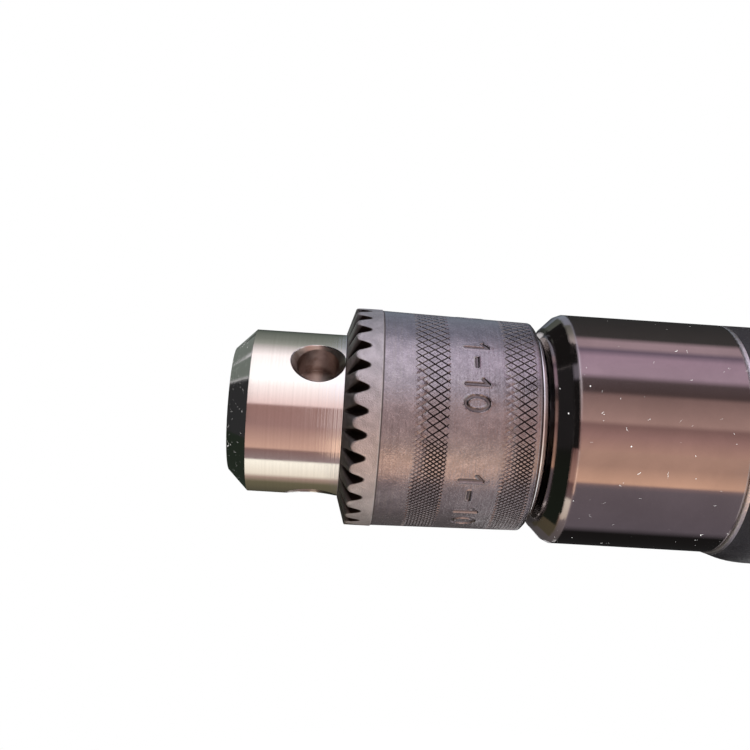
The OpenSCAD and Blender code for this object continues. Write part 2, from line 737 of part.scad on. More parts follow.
module barrel() {
    shoulder_steps = 8;
    intersection() {
        translate([0, 0, -barrel_drop]) turned(concat(
            [[0, housing_x], [barrel_r, housing_x]],
            [for (a = [0 : 15 : 90]) [
                barrel_r - rear_round * (1 - cos(a)), barrel_back_x - rear_round * (1 - sin(a))
            ]],
            [[0, barrel_back_x]]
        ));
        turned(concat(
            [[0, housing_x], [case_r, housing_x], [case_r, housing_x + rim_len]],
            [for (k = [1 : shoulder_steps]) let (a = 90 * k / shoulder_steps) [
                case_r + (shoulder_rise + 0.5) * sin(a), housing_x + rim_len + shoulder_len * (1 - cos(a))
            ]],
            [[barrel_r + 2 * barrel_drop + 1, barrel_back_x + 1], [0, barrel_back_x + 1]]
        ));
    }
}

module motor_housing() {
    pocket_w = trigger_w + 2 * trigger_clear;
    pocket_h = trigger_h + 2 * trigger_clear;
    valve_level = (grip_z - trigger_z) / cos(grip_tilt);
    screen_z = grip_len - inlet_depth;
    color("#3a3740") difference() {
        union() {
            barrel();
            in_grip() grip_shell();
        }
        rod(case_thread_r + seat, housing_x - 1, front_plate_x - seat);
        rod(motor_r, front_plate_x - 1, bore_back_x);
        translate([trigger_front_x - trigger_out, -pocket_w / 2, trigger_z - pocket_h / 2])
            cube([pocket_floor_x - trigger_front_x + trigger_out, pocket_w, pocket_h]);
        translate([0, 0, trigger_z]) {
            rod(trigger_r + run, pocket_floor_x - 1, chamber_x + 1);
            rod(valve_bore_r, chamber_x, plug_back_x + 2 * plug_len);
        }
        translate([spool_x, 0, trigger_z]) cylinder(r = feed_r, h = spool_z - trigger_z);
        translate([spool_x, -grip_w, spool_z]) rotate([-90, 0, 0])
            cylinder(r = bushing_r + seat, h = 2 * grip_w);
        for (side = [-1, 1]) translate([spool_x, side * spool_port_y, spool_z])
            cylinder(r = spool_port_r, h = -spool_z - motor_r + 2);
        in_grip() {
            translate([supply_back, 0, valve_level]) cylinder(r = supply_r, h = screen_z - valve_level);
            translate([0, 0, screen_z - inlet_chamber])
                cylinder(r = inlet_shank_r + seat, h = inlet_depth + inlet_chamber + 1);
            translate([0, 0, grip_len - 2.2 * inlet_ring_r])
                cylinder(r = inlet_shank_r + 2.2 * inlet_ring_r, h = 3 * inlet_ring_r);
            for (side = [-1, 1]) translate([exhaust_back, side * exhaust_side, grip_z / 2])
                cylinder(r = exhaust_r, h = grip_len - grip_z / 2 + 1);
        }
    }
}

// Trigger and throttle valve

module trigger() {
    dip = 2.6;
    edge = 3;
    half_h = trigger_h / 2;
    color("#1b1b1e") difference() {
        intersection() {
            translate([0, trigger_w / 2, trigger_z]) rotate([90, 0, 0]) linear_extrude(trigger_w)
                polygon(concat(
                    [for (t = [-1 : 0.125 : 1]) [trigger_front_x + dip * (1 - t * t), half_h * t]],
                    [[trigger_back_x, half_h], [trigger_back_x, -half_h]]
                ));
            translate([0, 0, trigger_z - half_h - 1]) linear_extrude(trigger_h + 2) union() {
                translate([trigger_front_x, -trigger_w / 2 + edge]) square([trigger_out, trigger_w - 2 * edge]);
                translate([trigger_front_x + edge, -trigger_w / 2]) square([trigger_out - edge, trigger_w]);
                for (side = [-1, 1]) translate([trigger_front_x + edge, side * (trigger_w / 2 - edge)])
                    circle(r = edge);
            }
        }
        translate([0, 0, trigger_z]) rod(trigger_r + seat, trigger_back_x - 5, trigger_back_x + 1);
    }
}

module trigger_stem() {
    color("#b9bcc0") translate([0, 0, trigger_z]) {
        rod(trigger_r, trigger_back_x - 4.9, shank_end_x);
        rod(stem_r, shank_end_x - 1, valve_x + valve_head + 0.6);
    }
}

module throttle_valve() {
    color("#c2a35a") translate([0, 0, trigger_z])
        ring(valve_head_r, stem_r + seat, valve_x, valve_x + valve_head);
}

module valve_seat() {
    color("#b58e3c") translate([0, 0, trigger_z]) ring(valve_bore_r - seat, port_r, seat_x, seat_x + seat_len);
}

// The spring is one tube wound round the valve's axis
module valve_spring() {
    sides = 6;
    rings = spring_turns * 8;
    x0 = valve_x + valve_head + spring_wire_r + 0.05;
    x1 = plug_x - spring_wire_r - 0.05;
    points = [
        for (i = [0 : rings], k = [0 : sides - 1])
            let (
                turn = 360 * i / 8,
                r = spring_r + spring_wire_r * cos(360 * k / sides),
                x = x0 + (x1 - x0) * i / rings + spring_wire_r * sin(360 * k / sides)
            )
            [x, r * sin(turn), trigger_z + r * cos(turn)]
    ];
    sides_faces = [
        for (i = [0 : rings - 1], k = [0 : sides - 1], half = [0, 1])
            let (a = i * sides + k, b = i * sides + (k + 1) % sides)
            half == 0 ? [a, a + sides, b] : [b, a + sides, b + sides]
    ];
    color("#9ea2a6") polyhedron(
        points = points,
        faces = concat(sides_faces, [[for (k = [0 : sides - 1]) k],
            [for (k = [sides - 1 : -1 : 0]) rings * sides + k]])
    );
}

module valve_plug() {
    color("#7c8085") difference() {
        translate([0, 0, trigger_z]) difference() {
            rod(valve_bore_r - seat, plug_x, plug_back_x);
            ring(valve_bore_r + 1, valve_bore_r - 1.2, plug_x + 1.2, plug_x + 3);
        }
        translate([plug_back_x - plug_len / 2, 0, trigger_z]) rotate([0, 90, 0])
            cylinder(d = plug_hex, h = plug_len, $fn = 6);
    }
}

module plug_seal() {
    color("#141416") translate([plug_x + 2.1, 0, trigger_z]) rotate([0, 90, 0]) rotate_extrude()
        translate([valve_bore_r - 0.6, 0]) circle(r = 0.55);
}

// Reversing valve

// Children lie along Y at the spool, shifted by the spool's rest position
module at_spool(shift = 0) {
    translate([spool_x, shift, spool_z]) rotate([-90, 0, 0]) children();
}

module reverse_bushing() {
    color("#b58e3c") difference() {
        at_spool() translate([0, 0, -bushing_half]) cylinder(r = bushing_r, h = 2 * bushing_half);
        at_spool() translate([0, 0, -bushing_half - 1]) cylinder(r = spool_r + run, h = 2 * bushing_half + 2);
        translate([spool_x, 0, spool_z - bushing_r - 1]) cylinder(r = feed_r, h = bushing_r);
        for (side = [-1, 1]) translate([spool_x, side * spool_port_y, spool_z])
            cylinder(r = spool_port_r, h = bushing_r + 1);
    }
}

// A groove round the spool, cut into it by the depth of a waist
module spool_groove(middle, width) {
    translate([0, 0, middle - width / 2]) difference() {
        cylinder(r = spool_r + 1, h = width);
        translate([0, 0, -1]) cylinder(r = spool_r - spool_waist, h = width + 2);
    }
}

module reverse_spool() {
    color("#c9ccd0") at_spool(-spool_travel / 2) difference() {
        translate([0, 0, -spool_half]) cylinder(r = spool_r, h = 2 * spool_half);
        for (side = [-1, 1]) {
            spool_groove(side * spool_port_y, 2 * spool_port_r);
            spool_groove(side * spool_seal_y, 2 * ring_r + 0.2);
        }
    }
}

module spool_seals() {
    color("#141416") at_spool(-spool_travel / 2) for (side = [-1, 1])
        translate([0, 0, side * spool_seal_y]) rotate_extrude()
            translate([spool_r - spool_waist + seat + ring_r * 0.9, 0]) circle(r = ring_r * 0.88);
}

module reverse_buttons() {
    color("#c33a26") at_spool(-spool_travel / 2) for (side = [-1, 1]) difference() {
        translate([0, 0, side > 0 ? spool_half - 1.5 : -spool_half - button_len])
            cylinder(r = button_r, h = button_len + 1.5);
        translate([0, 0, side * (spool_half - 0.75) - 0.77]) cylinder(r = spool_r + seat, h = 1.54);
    }
}

// Air inlet and exhaust

module inlet_bushing() {
    corner_r = inlet_hex / sqrt(3);
    crown_r = inlet_hex / 2 * 0.98;
    crown = (corner_r - crown_r) * tan(30);
    color("#b9bcc0") in_grip() difference() {
        union() {
            translate([0, 0, grip_len - inlet_depth])
                cylinder(r = inlet_shank_r, h = hex_z - grip_len + inlet_depth + 1);
            translate([0, 0, hex_z]) intersection() {
                cylinder(r = corner_r, h = inlet_hex_h, $fn = 6);
                rotate_extrude() polygon([
                    [0, 0], [crown_r, 0], [corner_r, crown], [corner_r, inlet_hex_h - crown],
                    [crown_r, inlet_hex_h], [0, inlet_hex_h]
                ]);
            }
        }
        translate([0, 0, grip_len - inlet_depth - 1]) cylinder(r = inlet_bore_r, h = inlet_depth + 40);
        translate([0, 0, hex_z + inlet_hex_h - 1])
            cylinder(r1 = inlet_bore_r, r2 = inlet_bore_r + 1.1, h = 1.1);
    }
}

module inlet_screen() {
    color("#b58e3c") in_grip() translate([0, 0, grip_len - inlet_depth - screen_len]) difference() {
        cylinder(r = inlet_shank_r - 0.2, h = screen_len - seat);
        for (n = [[0, 1], [2.4, 6], [4.8, 12]], i = [0 : n[1] - 1])
            rotate(360 * i / n[1]) translate([n[0], 0, -1]) cylinder(r = 0.75, h = 3);
    }
}

module inlet_seal() {
    color("#141416") in_grip() translate([0, 0, grip_len - 1.1 * inlet_ring_r]) rotate_extrude()
        translate([inlet_shank_r + 1.1 * inlet_ring_r, 0]) circle(r = inlet_ring_r);
}

module exhaust_deflector() {
    floor_h = 1.8;
    color("#28282b") in_grip() difference() {
        translate([0, 0, deflector_z]) rotate_extrude() polygon([
            [inlet_shank_r + run, deflector_h], [inlet_shank_r + run, 0], [inlet_shank_r + 0.9, 0],
            [inlet_shank_r + 0.9, deflector_h - floor_h], [deflector_r - deflector_wall, deflector_h - floor_h],
            [deflector_r - deflector_wall, 0], [deflector_r, 0], [deflector_r, deflector_h - 1.2],
            [deflector_r - 1.2, deflector_h]
        ]);
        for (i = [0 : slot_count - 1])
            rotate((i - (slot_count - 1) / 2) * slot_step)
                translate([deflector_r - deflector_wall - 1, -slot_w / 2, deflector_z + 1.8])
                    cube([deflector_wall + 2, slot_w, deflector_h - floor_h - 3]);
    }
}

module muffler() {
    color("#8c7440") in_grip() translate([0, 0, deflector_z + 1.4]) difference() {
        cylinder(r = deflector_r - deflector_wall - 0.1, h = deflector_h - 3.3);
        translate([0, 0, -1]) cylinder(r = inlet_shank_r + 1, h = deflector_h);
    }
}

chuck_body();
chuck_sleeve();
chuck_nut();
jaw(0);  // jaw_1
jaw(1);  // jaw_2
jaw(2);  // jaw_3
chuck_screw();
output_spindle();
spindle_circlip();
planet_pins();
planet_gear(0);  // planet_gear_1
planet_gear(1);  // planet_gear_2
planet_gear(2);  // planet_gear_3
gear_case();
dust_seal();
bearing_spacer();
ring_gear();
bearing_outer(front_brg, front_brg_x);  // front_bearing_outer
bearing_inner(front_brg, front_brg_x);  // front_bearing_inner
bearing_cage(front_brg, front_brg_x);  // front_bearing_cage
bearing_balls(front_brg, front_brg_x);  // front_bearing_balls
bearing_outer(carrier_brg, carrier_brg_x);  // carrier_bearing_outer
bearing_inner(carrier_brg, carrier_brg_x);  // carrier_bearing_inner
bearing_cage(carrier_brg, carrier_brg_x);  // carrier_bearing_cage
bearing_balls(carrier_brg, carrier_brg_x);  // carrier_bearing_balls
rotor();
rotor_vanes();
motor_cylinder();
front_end_plate();
rear_end_plate();
cylinder_dowels();
bearing_outer(rotor_brg, rotor_front_brg_x);  // rotor_front_bearing_outer
bearing_inner(rotor_brg, rotor_front_brg_x);  // rotor_front_bearing_inner
bearing_cage(rotor_brg, rotor_front_brg_x);  // rotor_front_bearing_cage
bearing_balls(rotor_brg, rotor_front_brg_x);  // rotor_front_bearing_balls
bearing_outer(rotor_brg, rotor_rear_brg_x);  // rotor_rear_bearing_outer
bearing_inner(rotor_brg, rotor_rear_brg_x);  // rotor_rear_bearing_inner
bearing_cage(rotor_brg, rotor_rear_brg_x);  // rotor_rear_bearing_cage
bearing_balls(rotor_brg, rotor_rear_brg_x);  // rotor_rear_bearing_balls
preload_washer();
motor_housing();
trigger();
trigger_stem();
throttle_valve();
valve_seat();
valve_spring();
valve_plug();
plug_seal();
reverse_bushing();
reverse_spool();
reverse_buttons();
spool_seals();
inlet_bushing();
inlet_screen();
inlet_seal();
exhaust_deflector();
muffler();
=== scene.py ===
import json
import math

import bmesh
import bpy
import numpy as np
from bpy.props import FloatProperty, FloatVectorProperty, IntProperty, PointerProperty
from bpy.types import Operator, Panel, PropertyGroup
from mathutils import Matrix, Vector


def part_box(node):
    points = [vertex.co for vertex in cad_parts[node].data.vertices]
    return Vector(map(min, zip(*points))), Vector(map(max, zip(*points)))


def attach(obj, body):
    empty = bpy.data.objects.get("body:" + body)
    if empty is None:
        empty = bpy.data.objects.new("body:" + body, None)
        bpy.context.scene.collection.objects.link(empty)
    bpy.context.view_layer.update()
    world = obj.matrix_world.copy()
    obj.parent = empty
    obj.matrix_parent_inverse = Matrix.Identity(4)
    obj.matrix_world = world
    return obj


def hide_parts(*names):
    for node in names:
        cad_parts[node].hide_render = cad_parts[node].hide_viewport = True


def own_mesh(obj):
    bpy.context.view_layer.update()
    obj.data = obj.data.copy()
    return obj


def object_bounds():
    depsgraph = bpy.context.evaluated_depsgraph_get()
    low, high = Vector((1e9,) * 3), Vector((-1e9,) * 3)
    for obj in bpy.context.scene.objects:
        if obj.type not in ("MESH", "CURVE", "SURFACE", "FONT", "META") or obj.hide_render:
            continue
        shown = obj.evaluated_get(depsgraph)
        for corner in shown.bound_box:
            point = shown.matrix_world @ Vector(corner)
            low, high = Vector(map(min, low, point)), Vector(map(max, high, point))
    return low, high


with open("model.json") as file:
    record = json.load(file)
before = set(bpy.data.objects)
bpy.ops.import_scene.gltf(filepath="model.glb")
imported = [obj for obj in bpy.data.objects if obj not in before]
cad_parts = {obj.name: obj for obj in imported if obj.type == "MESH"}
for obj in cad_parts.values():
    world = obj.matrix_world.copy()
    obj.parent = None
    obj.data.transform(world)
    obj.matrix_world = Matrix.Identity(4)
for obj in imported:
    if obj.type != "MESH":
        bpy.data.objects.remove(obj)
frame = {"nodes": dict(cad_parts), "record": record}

bl_info = {
    "name": "Pneumatic drill looks",
    "version": (1, 0, 0),
    "blender": (4, 5, 0),
    "location": "View3D > Sidebar > Drill",
    "description": "Dresses the frame of a pistol-grip air drill with its shaped pieces, finishes and stage",
    "category": "Object",
}

MM = 0.001
CAD_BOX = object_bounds()

# Sizes of the chuck that the frame doesn't hold, in millimetres
NOSE_X = -31.0
NOSE_R = 12.65
NOSE_CHAMFER_END = NOSE_X + 3.1
DUSTY_END = NOSE_X + 2.4
MOUTH_R = 6.2
KEY_FLOOR_R = 7.05
LIP_R = 12.9
KEY_X = -18.05
TEETH_PHASE = 87.3
LIP_LEN = 3.0
SLEEVE_BORE_R = 15.2
RING_LEN = 4.0
RING_STEP = 0.15
REAR_R = 16.4
REAR_EDGE = 0.5
SLEEVE_LOW, SLEEVE_HIGH = (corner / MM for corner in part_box("chuck_sleeve"))
RING_R, SLEEVE_REAR_X = SLEEVE_HIGH.z, SLEEVE_HIGH.x
CONE_SLOPE = (SLEEVE_LOW.x - KEY_X) / LIP_R
TIP_X = KEY_X + CONE_SLOPE * RING_R

# Half a gap between two teeth: share of half the pitch, share of the depth
GAP_HALF = [(0.96, 0.0), (0.76, 0.05), (0.59, 0.17), (0.45, 0.42), (0.32, 0.7), (0.18, 0.93), (0.0, 1.0)]
TOOTH_EDGE = 0.16

# Radii of the rings of points on the toothed cone
CONE_RINGS = [LIP_R, 13.2, 13.9, 14.8, 15.7, 16.4, RING_R - TOOTH_EDGE, RING_R - 0.05]

# Where the knurled bands lie along the spindle, and how many rows of crossings each has
KNURL_BANDS = [(-4.03, 1.19, 11), (8.97, 13.83, 10)]

# The range of bit sizes, stamped round the sleeve. Each numeral is given by strokes across and up, in shares
# of its size, and by its distance round the sleeve in millimetres
NUMERALS = {
    "1": [[(-0.75, 0.5), (0.0, 1.0), (0.0, -1.0)]],
    "-": [[(-0.7, 0.0), (0.7, 0.0)]],
    "0": [[(math.sin(a) * 0.95, math.cos(a)) for a in np.linspace(0, 2 * math.pi, 33)]],
}
LABEL = [("1", 0.0), ("-", 2.8), ("1", 6.4), ("0", 9.25)]
LABEL_X = 5.0
LABEL_START = 48.0
LABEL_COUNT = 5
LABEL_COLUMNS, LABEL_ROWS = 864, 34
LABEL_MARGIN = 0.35
NUMERAL_WIDTH = 0.58

# Housing and controls, in millimetres
CASE_R = 18.05
HOUSING_X = 44.5
BARREL_R = 18.8
BARREL_DROP = 0.7
SHOULDER_LEN = 12.0
RIM_LEN = 0.6
REAR_ROUND = 8.0
GRIP_TOP = (93.8, -20.0)
GRIP_TILT = math.radians(8)
GRIP_LEN = 100.0
# Distance down the grip, shift to the back, half depth, half width, squareness
GRIP_SECTIONS = [
    (-16, 0.0, 25.0, 14.6, 2.4),
    (-6, 0.0, 23.2, 14.6, 2.4),
    (2, 0.0, 20.6, 14.5, 2.4),
    (16, 0.0, 18.3, 14.4, 2.4),
    (36, 0.6, 17.6, 14.8, 2.4),
    (60, 1.0, 18.0, 15.1, 2.4),
    (88, 0.3, 16.6, 15.7, 2.1),
    (106, 0.0, 16.4, 16.4, 2.0),
]
CASE_THREAD_R = 16.02
VALVE_R = 4.05
INLET_R = 8.32
PASSAGE_R = 2.4
VOXEL = 0.9
TRIGGER_DIP = 2.6
TRIGGER_CORNER = 3.0
TRIGGER_CLEAR = 0.3
TRIGGER_RIBS = 5
SPOOL_SHIFT = -2.5
SPOOL_HALF = 17.7
SPRING_WIRE_R = 0.35
SPRING_TURNS = 4
SPRING_STEPS, WIRE_SIDES = 32, 12

# Stage, in metres: how far the reflected cards are from the spindle, and the camera
CARD_FAR = 0.3
CARD_NEAR = 0.13
CARD_CASE = 0.1
CARD_LEFT = -0.36
CARD_STEP = 4
VIEW_TURNS = (2.27, -2.45, 3.56)
VIEW_PLACE = (-0.01534, -0.15578, 0)
FOCAL_PIXELS, FRAME_PIXELS, SENSOR = 985, 750, 36


# Small helpers


def circle(count):
    """Evenly spaced angles round a full turn."""
    return [2 * math.pi * i / count for i in range(count)]


def ring_point(x, radius, angle):
    """A point round the spindle axis, in millimetres; the angle runs from the top towards the viewer."""
    return (x, -radius * math.sin(angle), radius * math.cos(angle))


def grip_point(shift, side, down):
    """A point in the grip's own frame, given in the row frame, in millimetres."""
    x = GRIP_TOP[0] + shift * math.cos(GRIP_TILT) + down * math.sin(GRIP_TILT)
    z = GRIP_TOP[1] + shift * math.sin(GRIP_TILT) - down * math.cos(GRIP_TILT)
    return (x, side, z)


def smooth_step(low, high, value):
    """0 below low, 1 above high and a smooth rise between them."""
    share = np.clip((value - low) / (high - low), 0.0, 1.0)
    return share * share * (3 - 2 * share)


def along(stations, column, at):
    """One column of a table of stations, followed by a smooth curve through its points."""
    places = [row[0] for row in stations]
    values = [row[column] for row in stations]
    slopes = np.gradient(values, places)
    i = int(np.clip(np.searchsorted(places, at) - 1, 0, len(places) - 2))
    span = places[i + 1] - places[i]
    t = (at - places[i]) / span
    lower = (1 + 2 * t) * (1 - t) ** 2 * values[i] + t * t * (3 - 2 * t) * values[i + 1]
    return lower + span * (t * (1 - t) ** 2 * slopes[i] - t * t * (1 - t) * slopes[i + 1])


class Draft:
    """Points in millimetres, the faces between them and a mask of painted shade for the grooves, gaps and
    corners, for one mesh.
    """

    def __init__(self):
        self.points = []
        self.groove_shades = []
        self.faces = []
        self.finishes = []

    def point(self, place, mask=0.0):
        self.points.append(place)
        self.groove_shades.append(mask)
        return len(self.points) - 1

    def face(self, corners, finish=0):
        self.faces.append(tuple(corners))
        self.finishes.append(finish)

    def ring(self, x, radius, count, mask=0.0, start=0.0):
        """A ring of evenly spaced points round the spindle."""
        step = 2 * math.pi / count
        return [self.point(ring_point(x, radius, start + i * step), mask) for i in range(count)]

    def bridge(self, first, second, finish=0):
        """Faces between two rings with the same number of points."""
        count = len(first)
        for i in range(count):
            j = (i + 1) % count
            self.face((first[i], first[j], second[j], second[i]), finish)

    def turn_of(self, index):
        """The angle of a point round the spindle."""
        x, y, z = self.points[index]
        return math.atan2(-y, z) % (2 * math.pi)

    def join(self, first, second, finish=0):
        """Triangles between two rings with different numbers of points, in step round the spindle."""
        rings = []
        for ring in (first, second):
            turns = [self.turn_of(i) for i in ring]
            begin = turns.index(min(turns))
            order = ring[begin:] + ring[:begin]
            rings.append((order, turns[begin:] + turns[:begin]))
        (a, turn_a), (b, turn_b) = rings
        i, j = 0, 0
        while i < len(a) or j < len(b):
            next_a = turn_a[i + 1] if i + 1 < len(a) else turn_a[0] + 2 * math.pi
            next_b = turn_b[j + 1] if j + 1 < len(b) else turn_b[0] + 2 * math.pi
            here_a, here_b = a[i % len(a)], b[j % len(b)]
            if j >= len(b) or (i < len(a) and next_a <= next_b):
                self.face((here_a, a[(i + 1) % len(a)], here_b), finish)
                i += 1
            else:
                self.face((here_a, b[(j + 1) % len(b)], here_b), finish)
                j += 1

    def sweep(self, rings, finish=0):
        """Faces between each ring and the next."""
        for first, second in zip(rings, rings[1:]):
            self.bridge(first, second, finish)

    def solid(self, rings):
        """Faces between each ring and the next, and over both ends."""
        self.sweep(rings)
        self.face(rings[0])
        self.face(rings[-1])

    def mesh(self, name):
        """A mesh of the points and faces, with every face turned outwards."""
        mesh = bpy.data.meshes.new(name)
        mesh.from_pydata([[c * MM for c in p] for p in self.points], [], self.faces)
        tidy = bmesh.new()
        tidy.from_mesh(mesh)
        bmesh.ops.recalc_face_normals(tidy, faces=tidy.faces)
        tidy.to_mesh(mesh)
        tidy.free()
        return mesh

    def build(self, name, finishes, body, nodes, sharp=30.0):
        """Makes the piece, and lets it ride its body and stand for its frame nodes."""
        mesh = self.mesh(name)
        for finish in finishes:
            mesh.materials.append(bpy.data.materials[finish])
        mesh.polygons.foreach_set("material_index", self.finishes)
        # The groove attribute carries the mask of painted shade
        mask = mesh.attributes.new("groove", "FLOAT", "POINT")
        mask.data.foreach_set("value", self.groove_shades)
        return finish_piece(name, mesh, body, nodes, sharp)


def new_object(name, data):
    """An object of the scene, made of a mesh, a lamp or a camera."""
    made = bpy.data.objects.new(name, data)
    bpy.context.scene.collection.objects.link(made)
    return made


def finish_piece(name, mesh, body, nodes, sharp=30.0):
    """Shades a mesh smooth up to an angle and gives it its body and the nodes it stands for."""
    mesh.shade_smooth()
    mesh.set_sharp_from_angle(angle=math.radians(sharp))
    piece = new_object(name, mesh)
    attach(piece, body)
    if nodes:
        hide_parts(*nodes)
    return piece


def applied(piece):
    """The mesh that a piece's modifiers give."""
    bpy.context.view_layer.update()
    graph = bpy.context.evaluated_depsgraph_get()
    return bpy.data.meshes.new_from_object(piece.evaluated_get(graph))


# Node helpers


class Nodes:
    """Adds nodes to one tree; each value may be a socket or a plain number or colour."""

    def __init__(self, tree):
        self.tree = tree

    def feed(self, socket, value):
        if isinstance(value, bpy.types.NodeSocket):
            self.tree.links.new(value, socket)
        else:
            socket.default_value = value

    def add(self, kind, inputs, **settings):
        node = self.tree.nodes.new(kind)
        for key, value in settings.items():
            setattr(node, key, value)
        for key, value in inputs.items():
            self.feed(node.inputs[key], value)
        return node

    def math(self, operation, first, second=0.0):
        return self.add("ShaderNodeMath", {0: first, 1: second}, operation=operation).outputs[0]

    def times(self, first, second):
        return self.math("MULTIPLY", first, second)

    def inverse(self, mask):
        return self.math("SUBTRACT", 1.0, mask)

    def hypot(self, first, second):
        """Length of the long side of a triangle whose short sides are first and second."""
        return self.math("SQRT", self.math("ADD", self.times(first, first), self.times(second, second)))

    def mix(self, factor, first, second):
        node = self.add("ShaderNodeMix", {0: factor, 6: first, 7: second}, data_type="RGBA")
        return node.outputs[2]

    def blend(self, factor, first, second):
        """Like mix, for plain values."""
        return self.add("ShaderNodeMix", {0: factor, 2: first, 3: second}).outputs[0]

    def rise(self, value, low, high):
        ends = {"Value": value, "From Min": low, "From Max": high}
        return self.add("ShaderNodeMapRange", ends, interpolation_type="SMOOTHSTEP").outputs["Result"]

    def place(self):
        return self.add("ShaderNodeTexCoord", {}).outputs["Object"]

    def lines(self, place, scale):
        """Noise in lines across one coordinate."""
        inputs = {"W": place, "Scale": scale, "Detail": 2.0}
        return self.add("ShaderNodeTexNoise", inputs, noise_dimensions="1D").outputs["Fac"]

    def attribute(self, name):
        """The plain value of a mesh attribute."""
        return self.add("ShaderNodeAttribute", {}, attribute_name=name).outputs["Fac"]

    def split(self, vector):
        return self.add("ShaderNodeSeparateXYZ", {0: vector}).outputs

    def radius(self):
        """Distance from the spindle axis, and the place along it."""
        x, y, z = self.split(self.place())
        return self.hypot(y, z), x

    def wrapped(self):
        """Distances along the spindle, and round it at the sleeve's size."""
        x, y, z = self.split(self.place())
        turn = self.math("ARCTAN2", z, self.times(y, -1.0))
        return x, self.times(turn, REAR_R * MM)

    def noise(self, vector, scale, detail=3.0, roughness=0.5, distortion=0.0):
        ends = {"Vector": vector, "Scale": scale, "Detail": detail, "Roughness": roughness,
                "Distortion": distortion}
        return self.add("ShaderNodeTexNoise", ends).outputs["Fac"]

    def group(self, name, **inputs):
        node = self.tree.nodes.new("ShaderNodeGroup")
        node.node_tree = bpy.data.node_groups[name]
        for key, value in inputs.items():
            self.feed(node.inputs[key.replace("_", " ")], value)
        return node.outputs


def new_group(name, inputs, outputs):
    """An empty shader node group with named float sockets."""
    tree = bpy.data.node_groups.new(name, "ShaderNodeTree")
    for label, default in inputs.items():
        socket = tree.interface.new_socket(name=label, in_out="INPUT", socket_type="NodeSocketFloat")
        socket.default_value = default
    for label in outputs:
        tree.interface.new_socket(name=label, in_out="OUTPUT", socket_type="NodeSocketFloat")
    nodes = Nodes(tree)
    return nodes, nodes.add("NodeGroupInput", {}).outputs, nodes.add("NodeGroupOutput", {}).inputs


def blank_tree(owner, output):
    """Empties a material's or a world's tree; returns its node helper and the input of its output node."""
    owner.use_nodes = True
    owner.node_tree.nodes.clear()
    nodes = Nodes(owner.node_tree)
    return nodes, nodes.add(output, {}).inputs["Surface"]


# Shared effects


def turning_marks():
    """Fine lines that a lathe leaves round the spindle, on cylinders, cones and faces alike."""
    nodes, given, result = new_group("turning marks", {"Lines": 2600.0}, ["Height", "Tone"])
    radius, x = nodes.radius()
    place = nodes.math("ADD", x, nodes.times(radius, 0.83))
    coarse = nodes.lines(place, given["Lines"])
    fine = nodes.lines(place, nodes.times(given["Lines"], 4.3))
    nodes.feed(result["Height"], nodes.math("ADD", coarse, nodes.times(fine, 0.4)))
    nodes.feed(result["Tone"], coarse)


def blast_grain():
    """Grain of a blasted or cast surface."""
    nodes, given, result = new_group("blast grain", {"Scale": 5000.0}, ["Height", "Tone"])
    where = nodes.place()
    fine = nodes.noise(where, given["Scale"], 2.0, 0.6)
    broad = nodes.noise(where, nodes.times(given["Scale"], 0.17), 4.0, 0.6)
    nodes.feed(result["Height"], nodes.math("ADD", fine, nodes.times(broad, 0.5)))
    nodes.feed(result["Tone"], broad)


def mottle():
    """Broad uneven tone, as oil, oxide and handling leave."""
    nodes, given, result = new_group("mottle", {"Scale": 120.0}, ["Tone"])
    tone = nodes.noise(nodes.place(), given["Scale"], 6.0, 0.62, 0.4)
    nodes.feed(result["Tone"], nodes.rise(tone, 0.3, 0.7))


def dust():
    """Specks and short fibres of dust."""
    nodes, given, result = new_group("dust", {"Amount": 0.5, "Scale": 620.0}, ["Mask"])
    where = nodes.place()
    cells = nodes.add("ShaderNodeTexVoronoi", {"Vector": where, "Scale": given["Scale"]})
    pick = nodes.split(cells.outputs["Color"])
    size = nodes.times(nodes.math("POWER", pick[0], 5.0), 0.13)
    chosen = nodes.math("LESS_THAN", pick[1], nodes.times(given["Amount"], 0.5))
    speck = nodes.times(nodes.math("LESS_THAN", cells.outputs["Distance"], size), chosen)
    thread = nodes.noise(where, nodes.times(given["Scale"], 0.45), 1.0, 0.5, 0.6)
    thin = nodes.math("LESS_THAN", nodes.math("ABSOLUTE", nodes.math("SUBTRACT", thread, 0.5)), 0.004)
    patch = nodes.noise(where, nodes.times(given["Scale"], 0.9), 1.0)
    bar = nodes.math("SUBTRACT", 0.76, nodes.times(given["Amount"], 0.2))
    fibre = nodes.times(thin, nodes.math("GREATER_THAN", patch, bar))
    nodes.feed(result["Mask"], nodes.math("MAXIMUM", speck, fibre))


def scratches():
    """Long thin marks that run across the turning lines."""
    nodes, given, result = new_group("scratches", {"Scale": 400.0, "Amount": 0.5}, ["Mask"])
    marks = None
    for lean, seed in ((0.55, 3.1), (-0.8, 7.7)):
        x, arc = nodes.wrapped()
        across = nodes.math("ADD", nodes.times(x, lean), arc)
        lengthwise = nodes.math("SUBTRACT", x, nodes.times(arc, lean))
        stretched = nodes.add("ShaderNodeCombineXYZ", {
            0: nodes.times(across, 9.0), 1: nodes.times(lengthwise, 0.35), 2: seed,
        }).outputs[0]
        line = nodes.noise(stretched, given["Scale"], 1.0, 0.4)
        bar = nodes.math("SUBTRACT", 0.82, nodes.times(given["Amount"], 0.2))
        mark = nodes.rise(line, bar, nodes.math("ADD", bar, 0.06))
        marks = mark if marks is None else nodes.math("MAXIMUM", marks, mark)
    nodes.feed(result["Mask"], marks)


